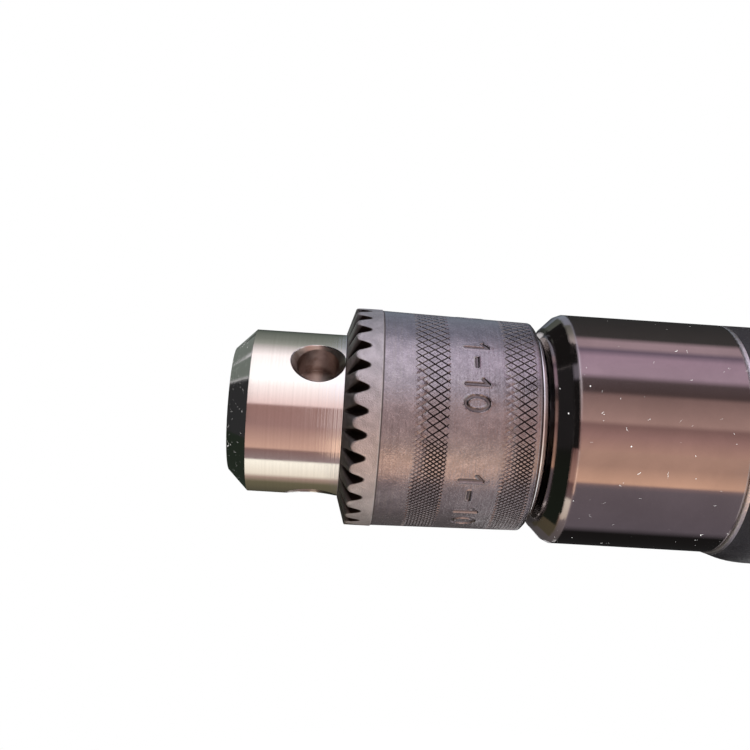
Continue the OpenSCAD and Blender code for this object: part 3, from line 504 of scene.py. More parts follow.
def edge_wear():
    """Where an edge is near: 1 on the edge, fading over the given radius."""
    nodes, given, result = new_group("edge wear", {"Radius": 0.0004}, ["Mask"])
    round_off = nodes.add("ShaderNodeBevel", {"Radius": given["Radius"]}, samples=4).outputs[0]
    flat = nodes.add("ShaderNodeNewGeometry", {}).outputs["Normal"]
    turn = nodes.add("ShaderNodeVectorMath", {0: round_off, 1: flat}, operation="DISTANCE").outputs["Value"]
    broken = nodes.noise(nodes.place(), 900.0, 3.0)
    worn = nodes.times(turn, nodes.math("ADD", broken, 0.3))
    nodes.feed(result["Mask"], nodes.rise(worn, 0.08, 0.4))


def build_effects():
    for effect in (turning_marks, blast_grain, mottle, dust, scratches, edge_wear):
        effect()


# Finishes


def new_material(name, metallic, roughness, **constants):
    """A material with one Principled shader; constants are set on its own sockets."""
    nodes, surface = blank_tree(bpy.data.materials.new(name), "ShaderNodeOutputMaterial")
    shader = nodes.add("ShaderNodeBsdfPrincipled", {"Metallic": metallic, "Roughness": roughness})
    for key, value in constants.items():
        shader.inputs[key.replace("_", " ")].default_value = value
    nodes.feed(surface, shader.outputs[0])
    return nodes, shader.inputs


def bump(nodes, height, distance, normal=None):
    node = nodes.add("ShaderNodeBump", {"Height": height, "Distance": distance, "Strength": 1.0})
    if normal is not None:
        nodes.feed(node.inputs["Normal"], normal)
    return node.outputs[0]


def soft_edges(nodes, radius):
    return nodes.add("ShaderNodeBevel", {"Radius": radius}, samples=4).outputs[0]


def rgb(colour):
    return (*colour, 1.0)


def bright_steel(look):
    """The turned nose: fine lines round it, dust on its front chamfer, painted shade in dark brown on the
    walls inside its holes and painted light on their floors.
    """
    nodes, shader = new_material("bright steel", 1.0, 0.1)
    marks = nodes.group("turning marks", Lines=2600.0)
    tone = nodes.group("mottle", Scale=260.0)["Tone"]
    radius, x = nodes.radius()
    below = nodes.rise(radius, (NOSE_R - 0.04) * MM, (NOSE_R - 0.2) * MM)
    behind = nodes.rise(x, NOSE_CHAMFER_END * MM, (NOSE_CHAMFER_END + 0.3) * MM)
    bore = nodes.rise(radius, (MOUTH_R + 0.4) * MM, MOUTH_R * MM)
    holes = nodes.math("MAXIMUM", nodes.times(below, behind), bore)
    outside = nodes.inverse(holes)
    streaks = nodes.times(marks["Tone"], 0.3)
    skin = nodes.mix(streaks, rgb(look.nose_colour), rgb((0.5, 0.46, 0.42)))
    # Painted shade: the walls inside the holes are painted dark brown
    inside = nodes.mix(tone, rgb((0.25, 0.18, 0.15)), rgb((0.6, 0.52, 0.47)))
    # Painted light: the deep parts, the key-hole floors and the mouth's bore, are painted pale
    lit_hole_floor = nodes.rise(radius, (KEY_FLOOR_R + 0.4) * MM, KEY_FLOOR_R * MM)
    inside = nodes.mix(lit_hole_floor, inside, rgb((0.85, 0.8, 0.76)))
    front = nodes.math("LESS_THAN", x, DUSTY_END * MM)
    specks = nodes.times(nodes.group("dust", Amount=0.9, Scale=1500.0)["Mask"], front)
    skin = nodes.mix(specks, skin, rgb((0.5, 0.48, 0.46)))
    nodes.feed(shader["Base Color"], nodes.mix(outside, inside, skin))
    nodes.feed(shader["Metallic"], nodes.inverse(specks))
    rough = nodes.blend(specks, nodes.blend(tone, 0.07, 0.12), 0.7)
    nodes.feed(shader["Roughness"], nodes.blend(outside, 0.35, rough))
    nodes.feed(shader["Normal"], bump(nodes, marks["Height"], 0.000004, soft_edges(nodes, 0.00012)))


def ring_steel(look):
    """The blasted toothed ring, with painted shade darkening the gaps between its teeth."""
    nodes, shader = new_material("ring steel", 1.0, 0.5)
    grain = nodes.group("blast grain", Scale=5200.0)
    groove = nodes.attribute("groove")
    tone = nodes.group("mottle", Scale=420.0)["Tone"]
    wear = nodes.group("edge wear", Radius=0.00025)["Mask"]
    scratch = nodes.group("scratches", Scale=900.0, Amount=0.7)["Mask"]
    skin = nodes.mix(tone, rgb(look.ring_colour), rgb([c * 0.72 for c in look.ring_colour]))
    skin = nodes.mix(nodes.times(scratch, 0.6), skin, rgb((0.85, 0.82, 0.78)))
    skin = nodes.mix(nodes.times(wear, 0.6), skin, rgb((0.8, 0.76, 0.72)))
    # Painted shade: the groove mask turns the gaps near black
    nodes.feed(shader["Base Color"], nodes.mix(groove, skin, rgb((0.03, 0.021, 0.017))))
    nodes.feed(shader["Roughness"], nodes.blend(groove, nodes.blend(scratch, 0.45, 0.25), 0.75))
    nodes.feed(shader["Normal"], bump(nodes, grain["Height"], 0.00009, soft_edges(nodes, 0.00015)))


def sleeve_steel(look):
    """Satin dark steel with painted glints on its grain, fine slanting scratches, and painted shade in its
    grooves and stamped numerals.
    """
    nodes, shader = new_material("sleeve steel", 1.0, 0.32)
    marks = nodes.group("turning marks", Lines=1900.0)
    groove = nodes.attribute("groove")
    grain = nodes.group("blast grain", Scale=3800.0)
    tone = nodes.group("mottle", Scale=300.0)["Tone"]
    scratch = nodes.group("scratches", Scale=1400.0, Amount=0.65)["Mask"]
    pale = rgb([min(1.0, c * 1.7) for c in look.sleeve_colour])
    skin = nodes.mix(nodes.times(tone, grain["Tone"]), rgb(look.sleeve_colour), pale)
    # Painted glints: the grain's highest specks are painted pale
    painted_glint = nodes.rise(grain["Height"], 0.65, 1.0)
    skin = nodes.mix(nodes.times(painted_glint, 0.7), skin, pale)
    skin = nodes.mix(nodes.times(scratch, 0.35), skin, rgb((0.7, 0.65, 0.64)))
    # Painted shade: the groove mask darkens the knurl grooves, the numerals and the corners
    nodes.feed(shader["Base Color"], nodes.mix(groove, skin, rgb((0.06, 0.05, 0.05))))
    nodes.feed(shader["Roughness"], nodes.blend(groove, nodes.blend(tone, 0.18, 0.28), 0.6))
    height = nodes.math("ADD", marks["Height"], nodes.times(grain["Height"], 1.6))
    nodes.feed(shader["Normal"], bump(nodes, height, 0.00002))


def black_chrome(look):
    """Polished black chrome with specks of dust."""
    nodes, shader = new_material("black chrome", 1.0, 0.07)
    specks = nodes.group("dust", Amount=0.28, Scale=1000.0)["Mask"]
    marks = nodes.group("turning marks", Lines=900.0)
    tone = nodes.group("mottle", Scale=90.0)["Tone"]
    wear = nodes.group("edge wear", Radius=0.00012)["Mask"]
    skin = nodes.mix(tone, rgb(look.case_colour), rgb([c * 0.86 for c in look.case_colour]))
    skin = nodes.mix(nodes.times(wear, 0.8), skin, rgb((0.9, 0.88, 0.9)))
    nodes.feed(shader["Base Color"], nodes.mix(specks, skin, rgb((0.85, 0.83, 0.8))))
    nodes.feed(shader["Metallic"], nodes.inverse(specks))
    nodes.feed(shader["Roughness"], nodes.blend(specks, nodes.blend(tone, 0.05, 0.1), 0.8))
    nodes.feed(shader["Normal"], bump(nodes, marks["Height"], 0.0000025, soft_edges(nodes, 0.0005)))


def black_paint(look):
    """Textured black paint on the cast housing, bare at the machined front rim."""
    nodes, shader = new_material("black paint", 0.0, 0.45, Specular_IOR_Level=0.22)
    grain = nodes.group("blast grain", Scale=2300.0)
    tone = nodes.group("mottle", Scale=160.0)["Tone"]
    wear = nodes.group("edge wear", Radius=0.0006)["Mask"]
    specks = nodes.group("dust", Amount=0.2, Scale=800.0)["Mask"]
    x = nodes.split(nodes.place())[0]
    rim = nodes.math("LESS_THAN", x, (HOUSING_X + RIM_LEN) * MM)
    bare = nodes.math("MAXIMUM", rim, nodes.times(wear, 0.55))
    skin = nodes.mix(tone, rgb(look.paint_colour), rgb([c * 1.4 for c in look.paint_colour]))
    skin = nodes.mix(specks, skin, rgb((0.6, 0.58, 0.56)))
    nodes.feed(shader["Base Color"], nodes.mix(bare, skin, rgb((0.72, 0.7, 0.7))))
    nodes.feed(shader["Metallic"], bare)
    nodes.feed(shader["Roughness"], nodes.blend(bare, nodes.blend(tone, 0.42, 0.58), 0.3))
    nodes.feed(shader["Normal"], bump(nodes, grain["Height"], 0.00009, soft_edges(nodes, 0.0007)))


def machined(name, colour, roughness, lines=2200.0, stain=0.35):
    """Turned or ground metal: fine lines, or a plain grain where lines is 0, uneven oil and worn edges."""
    nodes, shader = new_material(name, 1.0, roughness)
    marks = nodes.group("turning marks", Lines=lines) if lines else nodes.group("blast grain", Scale=3000.0)
    tone = nodes.group("mottle", Scale=240.0)["Tone"]
    wear = nodes.group("edge wear", Radius=0.0003)["Mask"]
    dull = rgb([c * (1 - stain) for c in colour])
    worn = rgb([min(1.0, c * 1.25) for c in colour])
    skin = nodes.mix(tone, rgb(colour), dull)
    nodes.feed(shader["Base Color"], nodes.mix(nodes.times(wear, 0.7), skin, worn))
    nodes.feed(shader["Roughness"], nodes.blend(tone, roughness * 0.85, roughness * 1.25))
    nodes.feed(shader["Normal"], bump(nodes, marks["Height"], 0.000015, soft_edges(nodes, 0.00025)))


def cast(name, colour, roughness, metallic, grain_scale=2600.0):
    """Cast or sintered surfaces with a coarse grain."""
    nodes, shader = new_material(name, metallic, roughness)
    grain = nodes.group("blast grain", Scale=grain_scale)
    dull = rgb([c * 0.6 for c in colour])
    nodes.feed(shader["Base Color"], nodes.mix(grain["Tone"], dull, rgb(colour)))
    nodes.feed(shader["Roughness"], nodes.blend(grain["Tone"], roughness * 1.2, roughness * 0.85))
    nodes.feed(shader["Normal"], bump(nodes, grain["Height"], 0.00008, soft_edges(nodes, 0.0003)))


def moulded(name, colour, roughness, grain_height=0.00003, coat=0.0):
    """Moulded nylon, acetal or rubber with a fine grain, paler on its edges."""
    nodes, shader = new_material(name, 0.0, roughness, Coat_Weight=coat)
    grain = nodes.group("blast grain", Scale=3600.0)
    tone = nodes.group("mottle", Scale=180.0)["Tone"]
    wear = nodes.group("edge wear", Radius=0.0005)["Mask"]
    pale = rgb([min(1.0, c * 1.7 + 0.02) for c in colour])
    skin = nodes.mix(tone, rgb(colour), rgb([c * 0.75 for c in colour]))
    nodes.feed(shader["Base Color"], nodes.mix(nodes.times(wear, 0.6), skin, pale))
    nodes.feed(shader["Roughness"], nodes.blend(tone, roughness * 0.85, roughness * 1.15))
    nodes.feed(shader["Normal"], bump(nodes, grain["Height"], grain_height, soft_edges(nodes, 0.0005)))


def vane_laminate():
    """Resin-bonded fabric: a fine weave of brown threads."""
    nodes, shader = new_material("vane laminate", 0.0, 0.55)
    threads = [
        nodes.add("ShaderNodeTexWave", {"Vector": nodes.place(), "Scale": 900.0, "Distortion": 1.5},
                  bands_direction=way).outputs["Fac"]
        for way in ("X", "Z")
    ]
    weave = nodes.times(*threads)
    nodes.feed(shader["Base Color"], nodes.mix(weave, rgb((0.2, 0.11, 0.05)), rgb((0.42, 0.26, 0.13))))
    nodes.feed(shader["Roughness"], nodes.blend(weave, 0.65, 0.5))
    nodes.feed(shader["Normal"], bump(nodes, weave, 0.00003))


# Parts that weren't turned round the spindle have a plain grain instead of lines round it
NODE_FINISH = {
    "inlet_bushing": "plated steel",
    "trigger_stem": "plated steel",
    "reverse_spool": "plated steel",
    "reverse_bushing": "plain brass",
    "inlet_screen": "plain brass",
    "muffler": "sintered bronze",
}
SLOT_FINISH = {
    "bright_steel": "bright steel",
    "sleeve_steel": "sleeve steel",
    "tool_steel": "tool steel",
    "ground_steel": "ground steel",
    "gear_steel": "gear steel",
    "bearing_ball": "bearing ball",
    "cast_grey": "cast iron",
    "plate_aluminium": "plate aluminium",
    "spring_steel": "spring steel",
    "plated_plug": "zinc plate",
    "black_chrome": "black chrome",
    "black_housing": "black paint",
    "brass": "brass",
    "black_rubber": "black rubber",
    "vane_composite": "vane laminate",
    "black_trigger": "trigger nylon",
    "red_button": "red acetal",
    "black_plastic": "black nylon",
}


def build_finishes(look):
    bright_steel(look)
    ring_steel(look)
    sleeve_steel(look)
    black_chrome(look)
    black_paint(look)
    machined("tool steel", (0.3, 0.29, 0.29), 0.34, 1700.0)
    machined("ground steel", (0.66, 0.66, 0.66), 0.24)
    machined("gear steel", (0.5, 0.49, 0.47), 0.3, 1500.0)
    machined("bearing ball", (0.8, 0.8, 0.8), 0.06, 300.0, 0.1)
    machined("plate aluminium", (0.72, 0.73, 0.74), 0.32)
    machined("spring steel", (0.5, 0.49, 0.48), 0.3, 600.0)
    machined("zinc plate", (0.42, 0.42, 0.4), 0.28, 0.0, 0.2)
    machined("brass", (0.72, 0.52, 0.24), 0.27, 1900.0, 0.3)
    machined("plated steel", (0.36, 0.36, 0.35), 0.33, 0.0, 0.12)
    machined("plain brass", (0.6, 0.43, 0.2), 0.3, 0.0)
    cast("sintered bronze", (0.5, 0.33, 0.15), 0.6, 1.0, 1400.0)
    cast("cast iron", (0.36, 0.35, 0.34), 0.45, 1.0)
    moulded("black rubber", (0.03, 0.03, 0.03), 0.6)
    moulded("trigger nylon", (0.035, 0.035, 0.038), 0.42)
    moulded("black nylon", (0.04, 0.04, 0.043), 0.5)
    moulded("red acetal", tuple(look.button_colour), 0.28, 0.00001, 0.4)
    vane_laminate()


def dress_frame():
    """Gives every frame node the finish of its slot in the record."""
    for row in frame["record"]["subparts"]:
        mesh = frame["nodes"][row["node"]].data
        finish = NODE_FINISH.get(row["node"], SLOT_FINISH[row["material_slot"]])
        mesh.materials.clear()
        mesh.materials.append(bpy.data.materials[finish])
        mesh.polygons.foreach_set("material_index", [0] * len(mesh.polygons))


# Chuck sleeve


def sleeve_radius(x):
    """Radius of the plain sleeve behind the toothed ring."""
    start = TIP_X + RING_LEN + RING_STEP
    share = (x - start) / (SLEEVE_REAR_X - REAR_EDGE - start)
    return RING_R - RING_STEP + (REAR_R - RING_R + RING_STEP) * share


def gap_columns(teeth, scale):
    """Angles and depth shares of the columns round the teeth, with each gap narrowed by a scale."""
    half_pitch = math.pi / teeth
    half = [(share * scale, depth) for share, depth in GAP_HALF]
    sides = [(-s, d) for s, d in half] + [(s, d) for s, d in reversed(half[:-1])] + [(1.0, 0.0)]
    start = math.radians(TEETH_PHASE)
    return [
        (start + 2 * half_pitch * tooth + share * half_pitch, depth)
        for tooth in range(teeth) for share, depth in sides
    ]


def toothed_ring(draft, sizes):
    """The cone with its gaps and the ring behind it; returns its two end rings."""
    deep = sizes.tooth_depth / MM
    rings = []
    for r in CONE_RINGS:
        grow = max(0.02, (r - LIP_R) / (RING_R - LIP_R))
        scale = grow * RING_R / r
        back = 0.06 if r > RING_R - TOOTH_EDGE else 0.0
        row = []
        for angle, depth in gap_columns(sizes.teeth, scale):
            cut = deep * depth * grow
            # Painted shade: darker the deeper the gap, and full at the inner edge where the cone meets the
            # nose
            mask = float(smooth_step(0.04, 0.3, depth) * smooth_step(0.02, 0.3, grow))
            mask = max(mask, float(smooth_step(13.3, LIP_R, r)))
            row.append(draft.point(ring_point(KEY_X + CONE_SLOPE * r + cut + back, r, angle), mask))
        rings.append(row)
    for share in (0.0, 0.12, 0.5, 1.0):
        row = []
        for angle, depth in gap_columns(sizes.teeth, 1.0):
            front = TIP_X + deep * depth + TOOTH_EDGE
            x = front + (TIP_X + RING_LEN - front) * share
            # Painted shade at the front ends of the gaps
            mask = float(smooth_step(0.08, 0.5, depth)) * (0.8 if share == 0.0 else 0.0)
            row.append(draft.point(ring_point(x, RING_R, angle), mask))
        rings.append(row)
    draft.sweep(rings)
    return rings[0], rings[-1]


def knurl_band(draft, sizes, start, end, rows):
    """Crossing grooves that leave raised diamonds; returns the band's two end rings."""
    count = sizes.knurl_crossings
    step = 2 * math.pi / count
    row_len = (end - start) / rows
    deep = sizes.knurl_depth / MM
    half_groove = 0.21

    def place(i, j):
        """Where a point of the lattice lies along the spindle, and its angle round it."""
        return start + j * row_len, i * step

    def line_weight(index, angle):
        """Every second groove is only a hairline, except where the knurl was cut twice."""
        if index % 2 == 0:
            return 1.0
        twice = max(
            smooth_step(0.7, 0.85, math.cos(angle - math.radians(140))),
            smooth_step(0.8, 0.9, math.cos(angle - math.radians(310))),
        )
        return 0.12 + 0.88 * float(twice)

    def fade(x, angle):
        """The wheel pressed lighter on one stretch of the band's front half."""
        near = smooth_step(0.75, 0.95, math.cos(angle - math.radians(92)))
        front = 1 - smooth_step(0.2, 0.6, (x - start) / (end - start))
        return 1 - 0.75 * float(near * front)

    crossings = []
    for j in range(rows + 1):
        ring = []
        for k in range(count):
            i = k + (j % 2) / 2
            x, angle = place(i, j)
            up, down = round(i + j / 2), round(i - j / 2)
            weight = max(line_weight(up, angle), line_weight(down, angle)) * fade(x, angle)
            if j in (0, rows):
                weight = 0.0
            # The groove weight is also the mask of painted shade that darkens each groove
            ring.append(draft.point(ring_point(x, sleeve_radius(x) - deep * weight, angle), weight))
        crossings.append(ring)

    def inset(i, j, side_i, side_j, angle):
        """A corner of a diamond's top, set back from the crossing beside it by each groove's half width."""
        centre_up, centre_down = i + j / 2, i - j / 2
        corner_up = centre_up + side_i / 2 + side_j / 2
        corner_down = centre_down + side_i / 2 - side_j / 2
        back_up = half_groove * line_weight(round(corner_up), angle)
        back_down = half_groove * line_weight(round(corner_down), angle)
        up = corner_up - math.copysign(back_up, corner_up - centre_up)
        down = corner_down - math.copysign(back_down, corner_down - centre_down)
        x, turn = place((up + down) / 2, up - down)
        return draft.point(ring_point(x, sleeve_radius(x), turn))

    for j in range(rows + 1):
        for k in range(count):
            i = k + (j % 2) / 2 + 0.5
            angle = i * step
            beside = (k + (j % 2)) % count
            before, after = crossings[j][k], crossings[j][(k + 1) % count]
            front = crossings[j - 1][beside] if j > 0 else None
            back = crossings[j + 1][beside] if j < rows else None
            if front is None or back is None:
                side = 1 if front is None else -1
                tip = back if front is None else front
                corner = inset(i, j, 0, side, angle)
                draft.face((before, tip, corner), 1)
                draft.face((tip, after, corner), 1)
                draft.face((before, corner, after), 1)
                continue
            outer = [before, front, after, back]
            inner = [inset(i, j, -1, 0, angle), inset(i, j, 0, -1, angle),
                     inset(i, j, 1, 0, angle), inset(i, j, 0, 1, angle)]
            for n in range(4):
                m = (n + 1) % 4
                draft.face((outer[n], outer[m], inner[m], inner[n]), 1)
            draft.face(inner, 1)
    return crossings[0], crossings[-1]


def stroke_distance(points, strokes):
    """Distance of each point from the nearest of some strokes, each a chain of points."""
    nearest = np.full(len(points), 99.0)
    for stroke in strokes:
        for a, b in zip(stroke, stroke[1:]):
            a, b = np.array(a), np.array(b)
            run = b - a
            share = np.clip(((points - a) @ run) / (run @ run), 0, 1)
            nearest = np.minimum(nearest, np.linalg.norm(points - a - share[:, None] * run, axis=1))
    return nearest


def stamped_band(draft, sizes, start, end):
    """The plain band between the knurled ones, with the stamped numerals; returns its end rings."""
    radius = sleeve_radius(LABEL_X)
    half_height = sizes.numeral_height / MM / 2
    half_width = half_height * NUMERAL_WIDTH
    half_stroke = sizes.numeral_stroke / MM / 2
    rise = half_height - half_stroke
    deep = sizes.numeral_depth / MM
    strokes = []
    for repeat in range(LABEL_COUNT):
        turn = math.radians(LABEL_START + repeat * 360 / LABEL_COUNT)
        for numeral, offset in LABEL:
            for stroke in NUMERALS[numeral]:
                strokes.append([
                    (turn * radius + offset + across * half_width, LABEL_X + up * rise)
                    for across, up in stroke
                ])
    reach = half_height + LABEL_MARGIN
    xs = np.linspace(LABEL_X - reach, LABEL_X + reach, LABEL_ROWS)
    turns = np.linspace(0, 2 * math.pi, LABEL_COLUMNS, endpoint=False)
    grid = np.array([(turn * radius, x) for x in xs for turn in turns])
    gap = stroke_distance(grid, strokes)
    shifted = grid + np.array([2 * math.pi * radius, 0])
    gap = np.minimum(gap, stroke_distance(shifted, strokes))
    cut = 1 - smooth_step(half_stroke - 0.06, half_stroke + 0.1, gap)
    lip = np.exp(-((gap - half_stroke - 0.16) / 0.09) ** 2) * 0.3
    first = draft.ring(start, sleeve_radius(start), sizes.knurl_crossings)
    last = draft.ring(end, sleeve_radius(end), sizes.knurl_crossings)
    rings = []
    for j, x in enumerate(xs):
        row = slice(j * LABEL_COLUMNS, (j + 1) * LABEL_COLUMNS)
        heights = sleeve_radius(x) - deep * (cut[row] - lip[row])
        # Painted shade: the stamped strokes get a mask that darkens them
        rings.append([
            draft.point(ring_point(x, r, turn), float(m) * 0.45)
            for r, turn, m in zip(heights, turns, cut[row])
        ])
    draft.sweep(rings, 1)
    draft.join(first, rings[0], 1)
    draft.join(rings[-1], last, 1)
    return first, last


def build_sleeve(sizes):
    count = sizes.knurl_crossings
    draft = Draft()
    lip, ring_back = toothed_ring(draft, sizes)
    step_x = TIP_X + RING_LEN + RING_STEP
    # Painted shade in the corner at the foot of the step behind the toothed ring
    foot = draft.ring(step_x, sleeve_radius(step_x), count, 0.9)
    draft.join(ring_back, foot, 0)
    beyond = draft.ring(step_x + 0.18, sleeve_radius(step_x + 0.18), count, 0.0)
    draft.bridge(foot, beyond, 1)
    last = beyond
    for n, (start, end, rows) in enumerate(KNURL_BANDS):
        if n == 1:
            plain, last = stamped_band(draft, sizes, KNURL_BANDS[0][1] + 0.2, start - 0.2)
            draft.join(behind, plain, 1)
        lead = draft.ring(start - 0.08, sleeve_radius(start - 0.08), count)
        draft.bridge(last, lead, 1)
        front, back = knurl_band(draft, sizes, start, end, rows)
        draft.join(lead, front, 1)
        behind = draft.ring(end + 0.08, sleeve_radius(end + 0.08), count)
        draft.join(back, behind, 1)
    rear_x, rim_x = SLEEVE_REAR_X, SLEEVE_REAR_X - REAR_EDGE
    rim = [draft.ring(x, r, count) for x, r in (
        (rim_x - 0.06, REAR_R), (rim_x + 0.06, REAR_R - 0.04), (rear_x - 0.05, REAR_R - REAR_EDGE + 0.04),
        (rear_x, REAR_R - REAR_EDGE - 0.05), (rear_x, SLEEVE_BORE_R), (TIP_X + LIP_LEN, SLEEVE_BORE_R),
        (TIP_X + LIP_LEN, LIP_R),
    )]
    draft.sweep([behind] + rim, 1)
    draft.join(rim[-1], lip, 1)
    finishes = ["ring steel", "sleeve steel"]
    draft.build("sleeve_knurled", finishes, "sleeve", ["chuck_sleeve"], 32)


# Housing


def barrel_radius(x, angle):
    """Radius of the barrel round the spindle: it hangs a little low and rises from the rim in a shoulder."""
    hang = BARREL_DROP
    full = math.sqrt(BARREL_R ** 2 - (hang * math.sin(angle)) ** 2) - hang * math.cos(angle)
    share = min(1.0, max(0.0, (x - HOUSING_X - RIM_LEN) / SHOULDER_LEN))
    rise = CASE_R + (BARREL_R + BARREL_DROP - CASE_R + 0.5) * math.sin(math.acos(1 - share))
    return min(full, rise) if share < 1 else full


def barrel_shell(draft):
    back_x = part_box("motor_housing")[1].x / MM
    turns = circle(96)
    rings = []
    fronts = [HOUSING_X - 4, HOUSING_X, HOUSING_X + RIM_LEN]
    fronts += [HOUSING_X + RIM_LEN + SHOULDER_LEN * (k / 10) ** 1.6 for k in range(1, 11)]
    middles = list(np.linspace(HOUSING_X + RIM_LEN + SHOULDER_LEN + 3, back_x - REAR_ROUND, 12))
    for x in fronts + middles:
        rings.append([draft.point(ring_point(x, barrel_radius(x, turn), turn)) for turn in turns])
    for k in range(1, 9):
        bend = math.radians(90 * k / 8)
        x = back_x - REAR_ROUND * (1 - math.sin(bend))
        shrink = (BARREL_R - REAR_ROUND * (1 - math.cos(bend))) / BARREL_R
        ring = []
        for turn in turns:
            px, py, pz = ring_point(x, barrel_radius(x, turn), turn)
            ring.append(draft.point((px, py * shrink, (pz + BARREL_DROP) * shrink - BARREL_DROP)))
        rings.append(ring)
    draft.solid(rings)


def grip_shell(draft):
    rings = []
    for down in np.linspace(GRIP_SECTIONS[0][0], GRIP_SECTIONS[-1][0], 40):
        shift, depth, width, power = (along(GRIP_SECTIONS, c, down) for c in (1, 2, 3, 4))
        ring = []
        for turn in circle(72):
            c, s = math.cos(turn), math.sin(turn)
            a = depth * math.copysign(abs(c) ** (2 / power), c)
            b = width * math.copysign(abs(s) ** (2 / power), s)
            ring.append(draft.point(grip_point(shift + a, b, down)))
        rings.append(ring)
    draft.solid(rings)


def tube(start, end, radius, count=64):
    """A draft of a closed cylinder between two points, in millimetres."""
    draft = Draft()
    a, b = Vector(start), Vector(end)
    axis = (b - a).normalized()
    side = axis.orthogonal().normalized()
    other = axis.cross(side)
    rings = []
    for centre in (a, b):
        rings.append([
            draft.point(tuple(centre + radius * (math.cos(t) * side + math.sin(t) * other)))
            for t in circle(count)
        ])
    draft.solid(rings)
    return draft


def block(low, high):
    """A draft of a closed box between two corners, in millimetres."""
    draft = Draft()
    corners = [draft.point((x, y, z)) for x in (low[0], high[0]) for y in (low[1], high[1])
               for z in (low[2], high[2])]
    for face in ((0, 1, 3, 2), (4, 6, 7, 5), (0, 4, 5, 1), (2, 3, 7, 6), (0, 2, 6, 4), (1, 5, 7, 3)):
        draft.face([corners[i] for i in face])
    return draft


def cut_from(piece, draft, name):
    """Cuts a draft's closed forms out of a piece."""
    tool = new_object(name, draft.mesh(name))
    cut = piece.modifiers.new(name, "BOOLEAN")
    cut.object = tool
    cut.solver = "EXACT"
    cut.operation = "DIFFERENCE"
    mesh = applied(piece)
    piece.modifiers.clear()
    piece.data = mesh
    bpy.data.objects.remove(tool)


def housing_cutters():
    """The openings that show: bore, trigger pocket, valve bore, spool bore, inlet bore, exhaust passages."""
    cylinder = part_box("motor_cylinder")[1].z / MM
    plate_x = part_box("front_end_plate")[0].x / MM - 0.05
    washer_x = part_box("preload_washer")[1].x / MM
    bore = Draft()
    bore.solid([bore.ring(x, r, 96) for x, r in (
        (HOUSING_X - 2, CASE_THREAD_R), (plate_x, CASE_THREAD_R), (plate_x, cylinder), (washer_x, cylinder),
    )])
    low, high = (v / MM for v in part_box("trigger"))
    plug_low, plug_high = (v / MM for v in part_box("valve_plug"))
    middle_z = (low.z + high.z) / 2
    floor_x = high.x + 5.5
    pocket = block((low.x - 12, low.y - TRIGGER_CLEAR, low.z - TRIGGER_CLEAR),
                   (floor_x, high.y + TRIGGER_CLEAR, high.z + TRIGGER_CLEAR))
    spool_low, spool_high = (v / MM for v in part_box("reverse_bushing"))
    spool_x, spool_z = (spool_low.x + spool_high.x) / 2, (spool_low.z + spool_high.z) / 2
    return [
        bore,
        pocket,
        tube((floor_x - 1, 0, middle_z), (floor_x + 6, 0, middle_z), VALVE_R),
        tube((floor_x + 4.5, 0, middle_z), (plug_high.x + 12, 0, middle_z), (plug_high.z - plug_low.z) / 2),
        tube((spool_x, -30, spool_z), (spool_x, 30, spool_z), (spool_high.x - spool_low.x) / 2 + 0.02),
        tube(grip_point(0, 0, GRIP_LEN - 14), grip_point(0, 0, GRIP_LEN + 8), INLET_R),
        tube(grip_point(8, -10, 60), grip_point(8, -10, GRIP_LEN + 8), PASSAGE_R, 32),
        tube(grip_point(8, 10, 60), grip_point(8, 10, GRIP_LEN + 8), PASSAGE_R, 32),
    ]


def build_housing(sizes):
    """The barrel and the grip blended into one casting, then cut crisply where it was machined."""
    draft = Draft()
    barrel_shell(draft)
    grip_shell(draft)
    shell = new_object("housing_shell", draft.mesh("housing_shell"))
    fine = shell.modifiers.new("blend", "REMESH")
    fine.mode = "VOXEL"
    fine.voxel_size = VOXEL * MM
    ease = shell.modifiers.new("ease", "SMOOTH")
    ease.factor = 0.5
    ease.iterations = sizes.casting_smoothing
    mesh = applied(shell)
    shell.modifiers.clear()
    trim = bmesh.new()
    trim.from_mesh(mesh)
    planes = [
        (Vector((HOUSING_X * MM, 0, 0)), Vector((-1, 0, 0))),
        (Vector(grip_point(0, 0, GRIP_LEN)) * MM, Vector((math.sin(GRIP_TILT), 0, -math.cos(GRIP_TILT)))),
    ]
    for place, away in planes:
        parts = trim.verts[:] + trim.edges[:] + trim.faces[:]
        cut = bmesh.ops.bisect_plane(trim, geom=parts, plane_co=place, plane_no=away, clear_outer=True)
        rim = [e for e in cut["geom_cut"] if isinstance(e, bmesh.types.BMEdge)]
        bmesh.ops.edgeloop_fill(trim, edges=rim)
    bmesh.ops.recalc_face_normals(trim, faces=trim.faces)
    trim.to_mesh(mesh)
    trim.free()
    shell.data = mesh
    for i, cutter in enumerate(housing_cutters()):
        cut_from(shell, cutter, f"opening_{i}")
    mesh = shell.data
    bpy.data.objects.remove(shell)
    mesh.materials.clear()
    mesh.materials.append(bpy.data.materials["black paint"])
    finish_piece("housing_casting", mesh, "housing", ["motor_housing"], 38)


# Controls


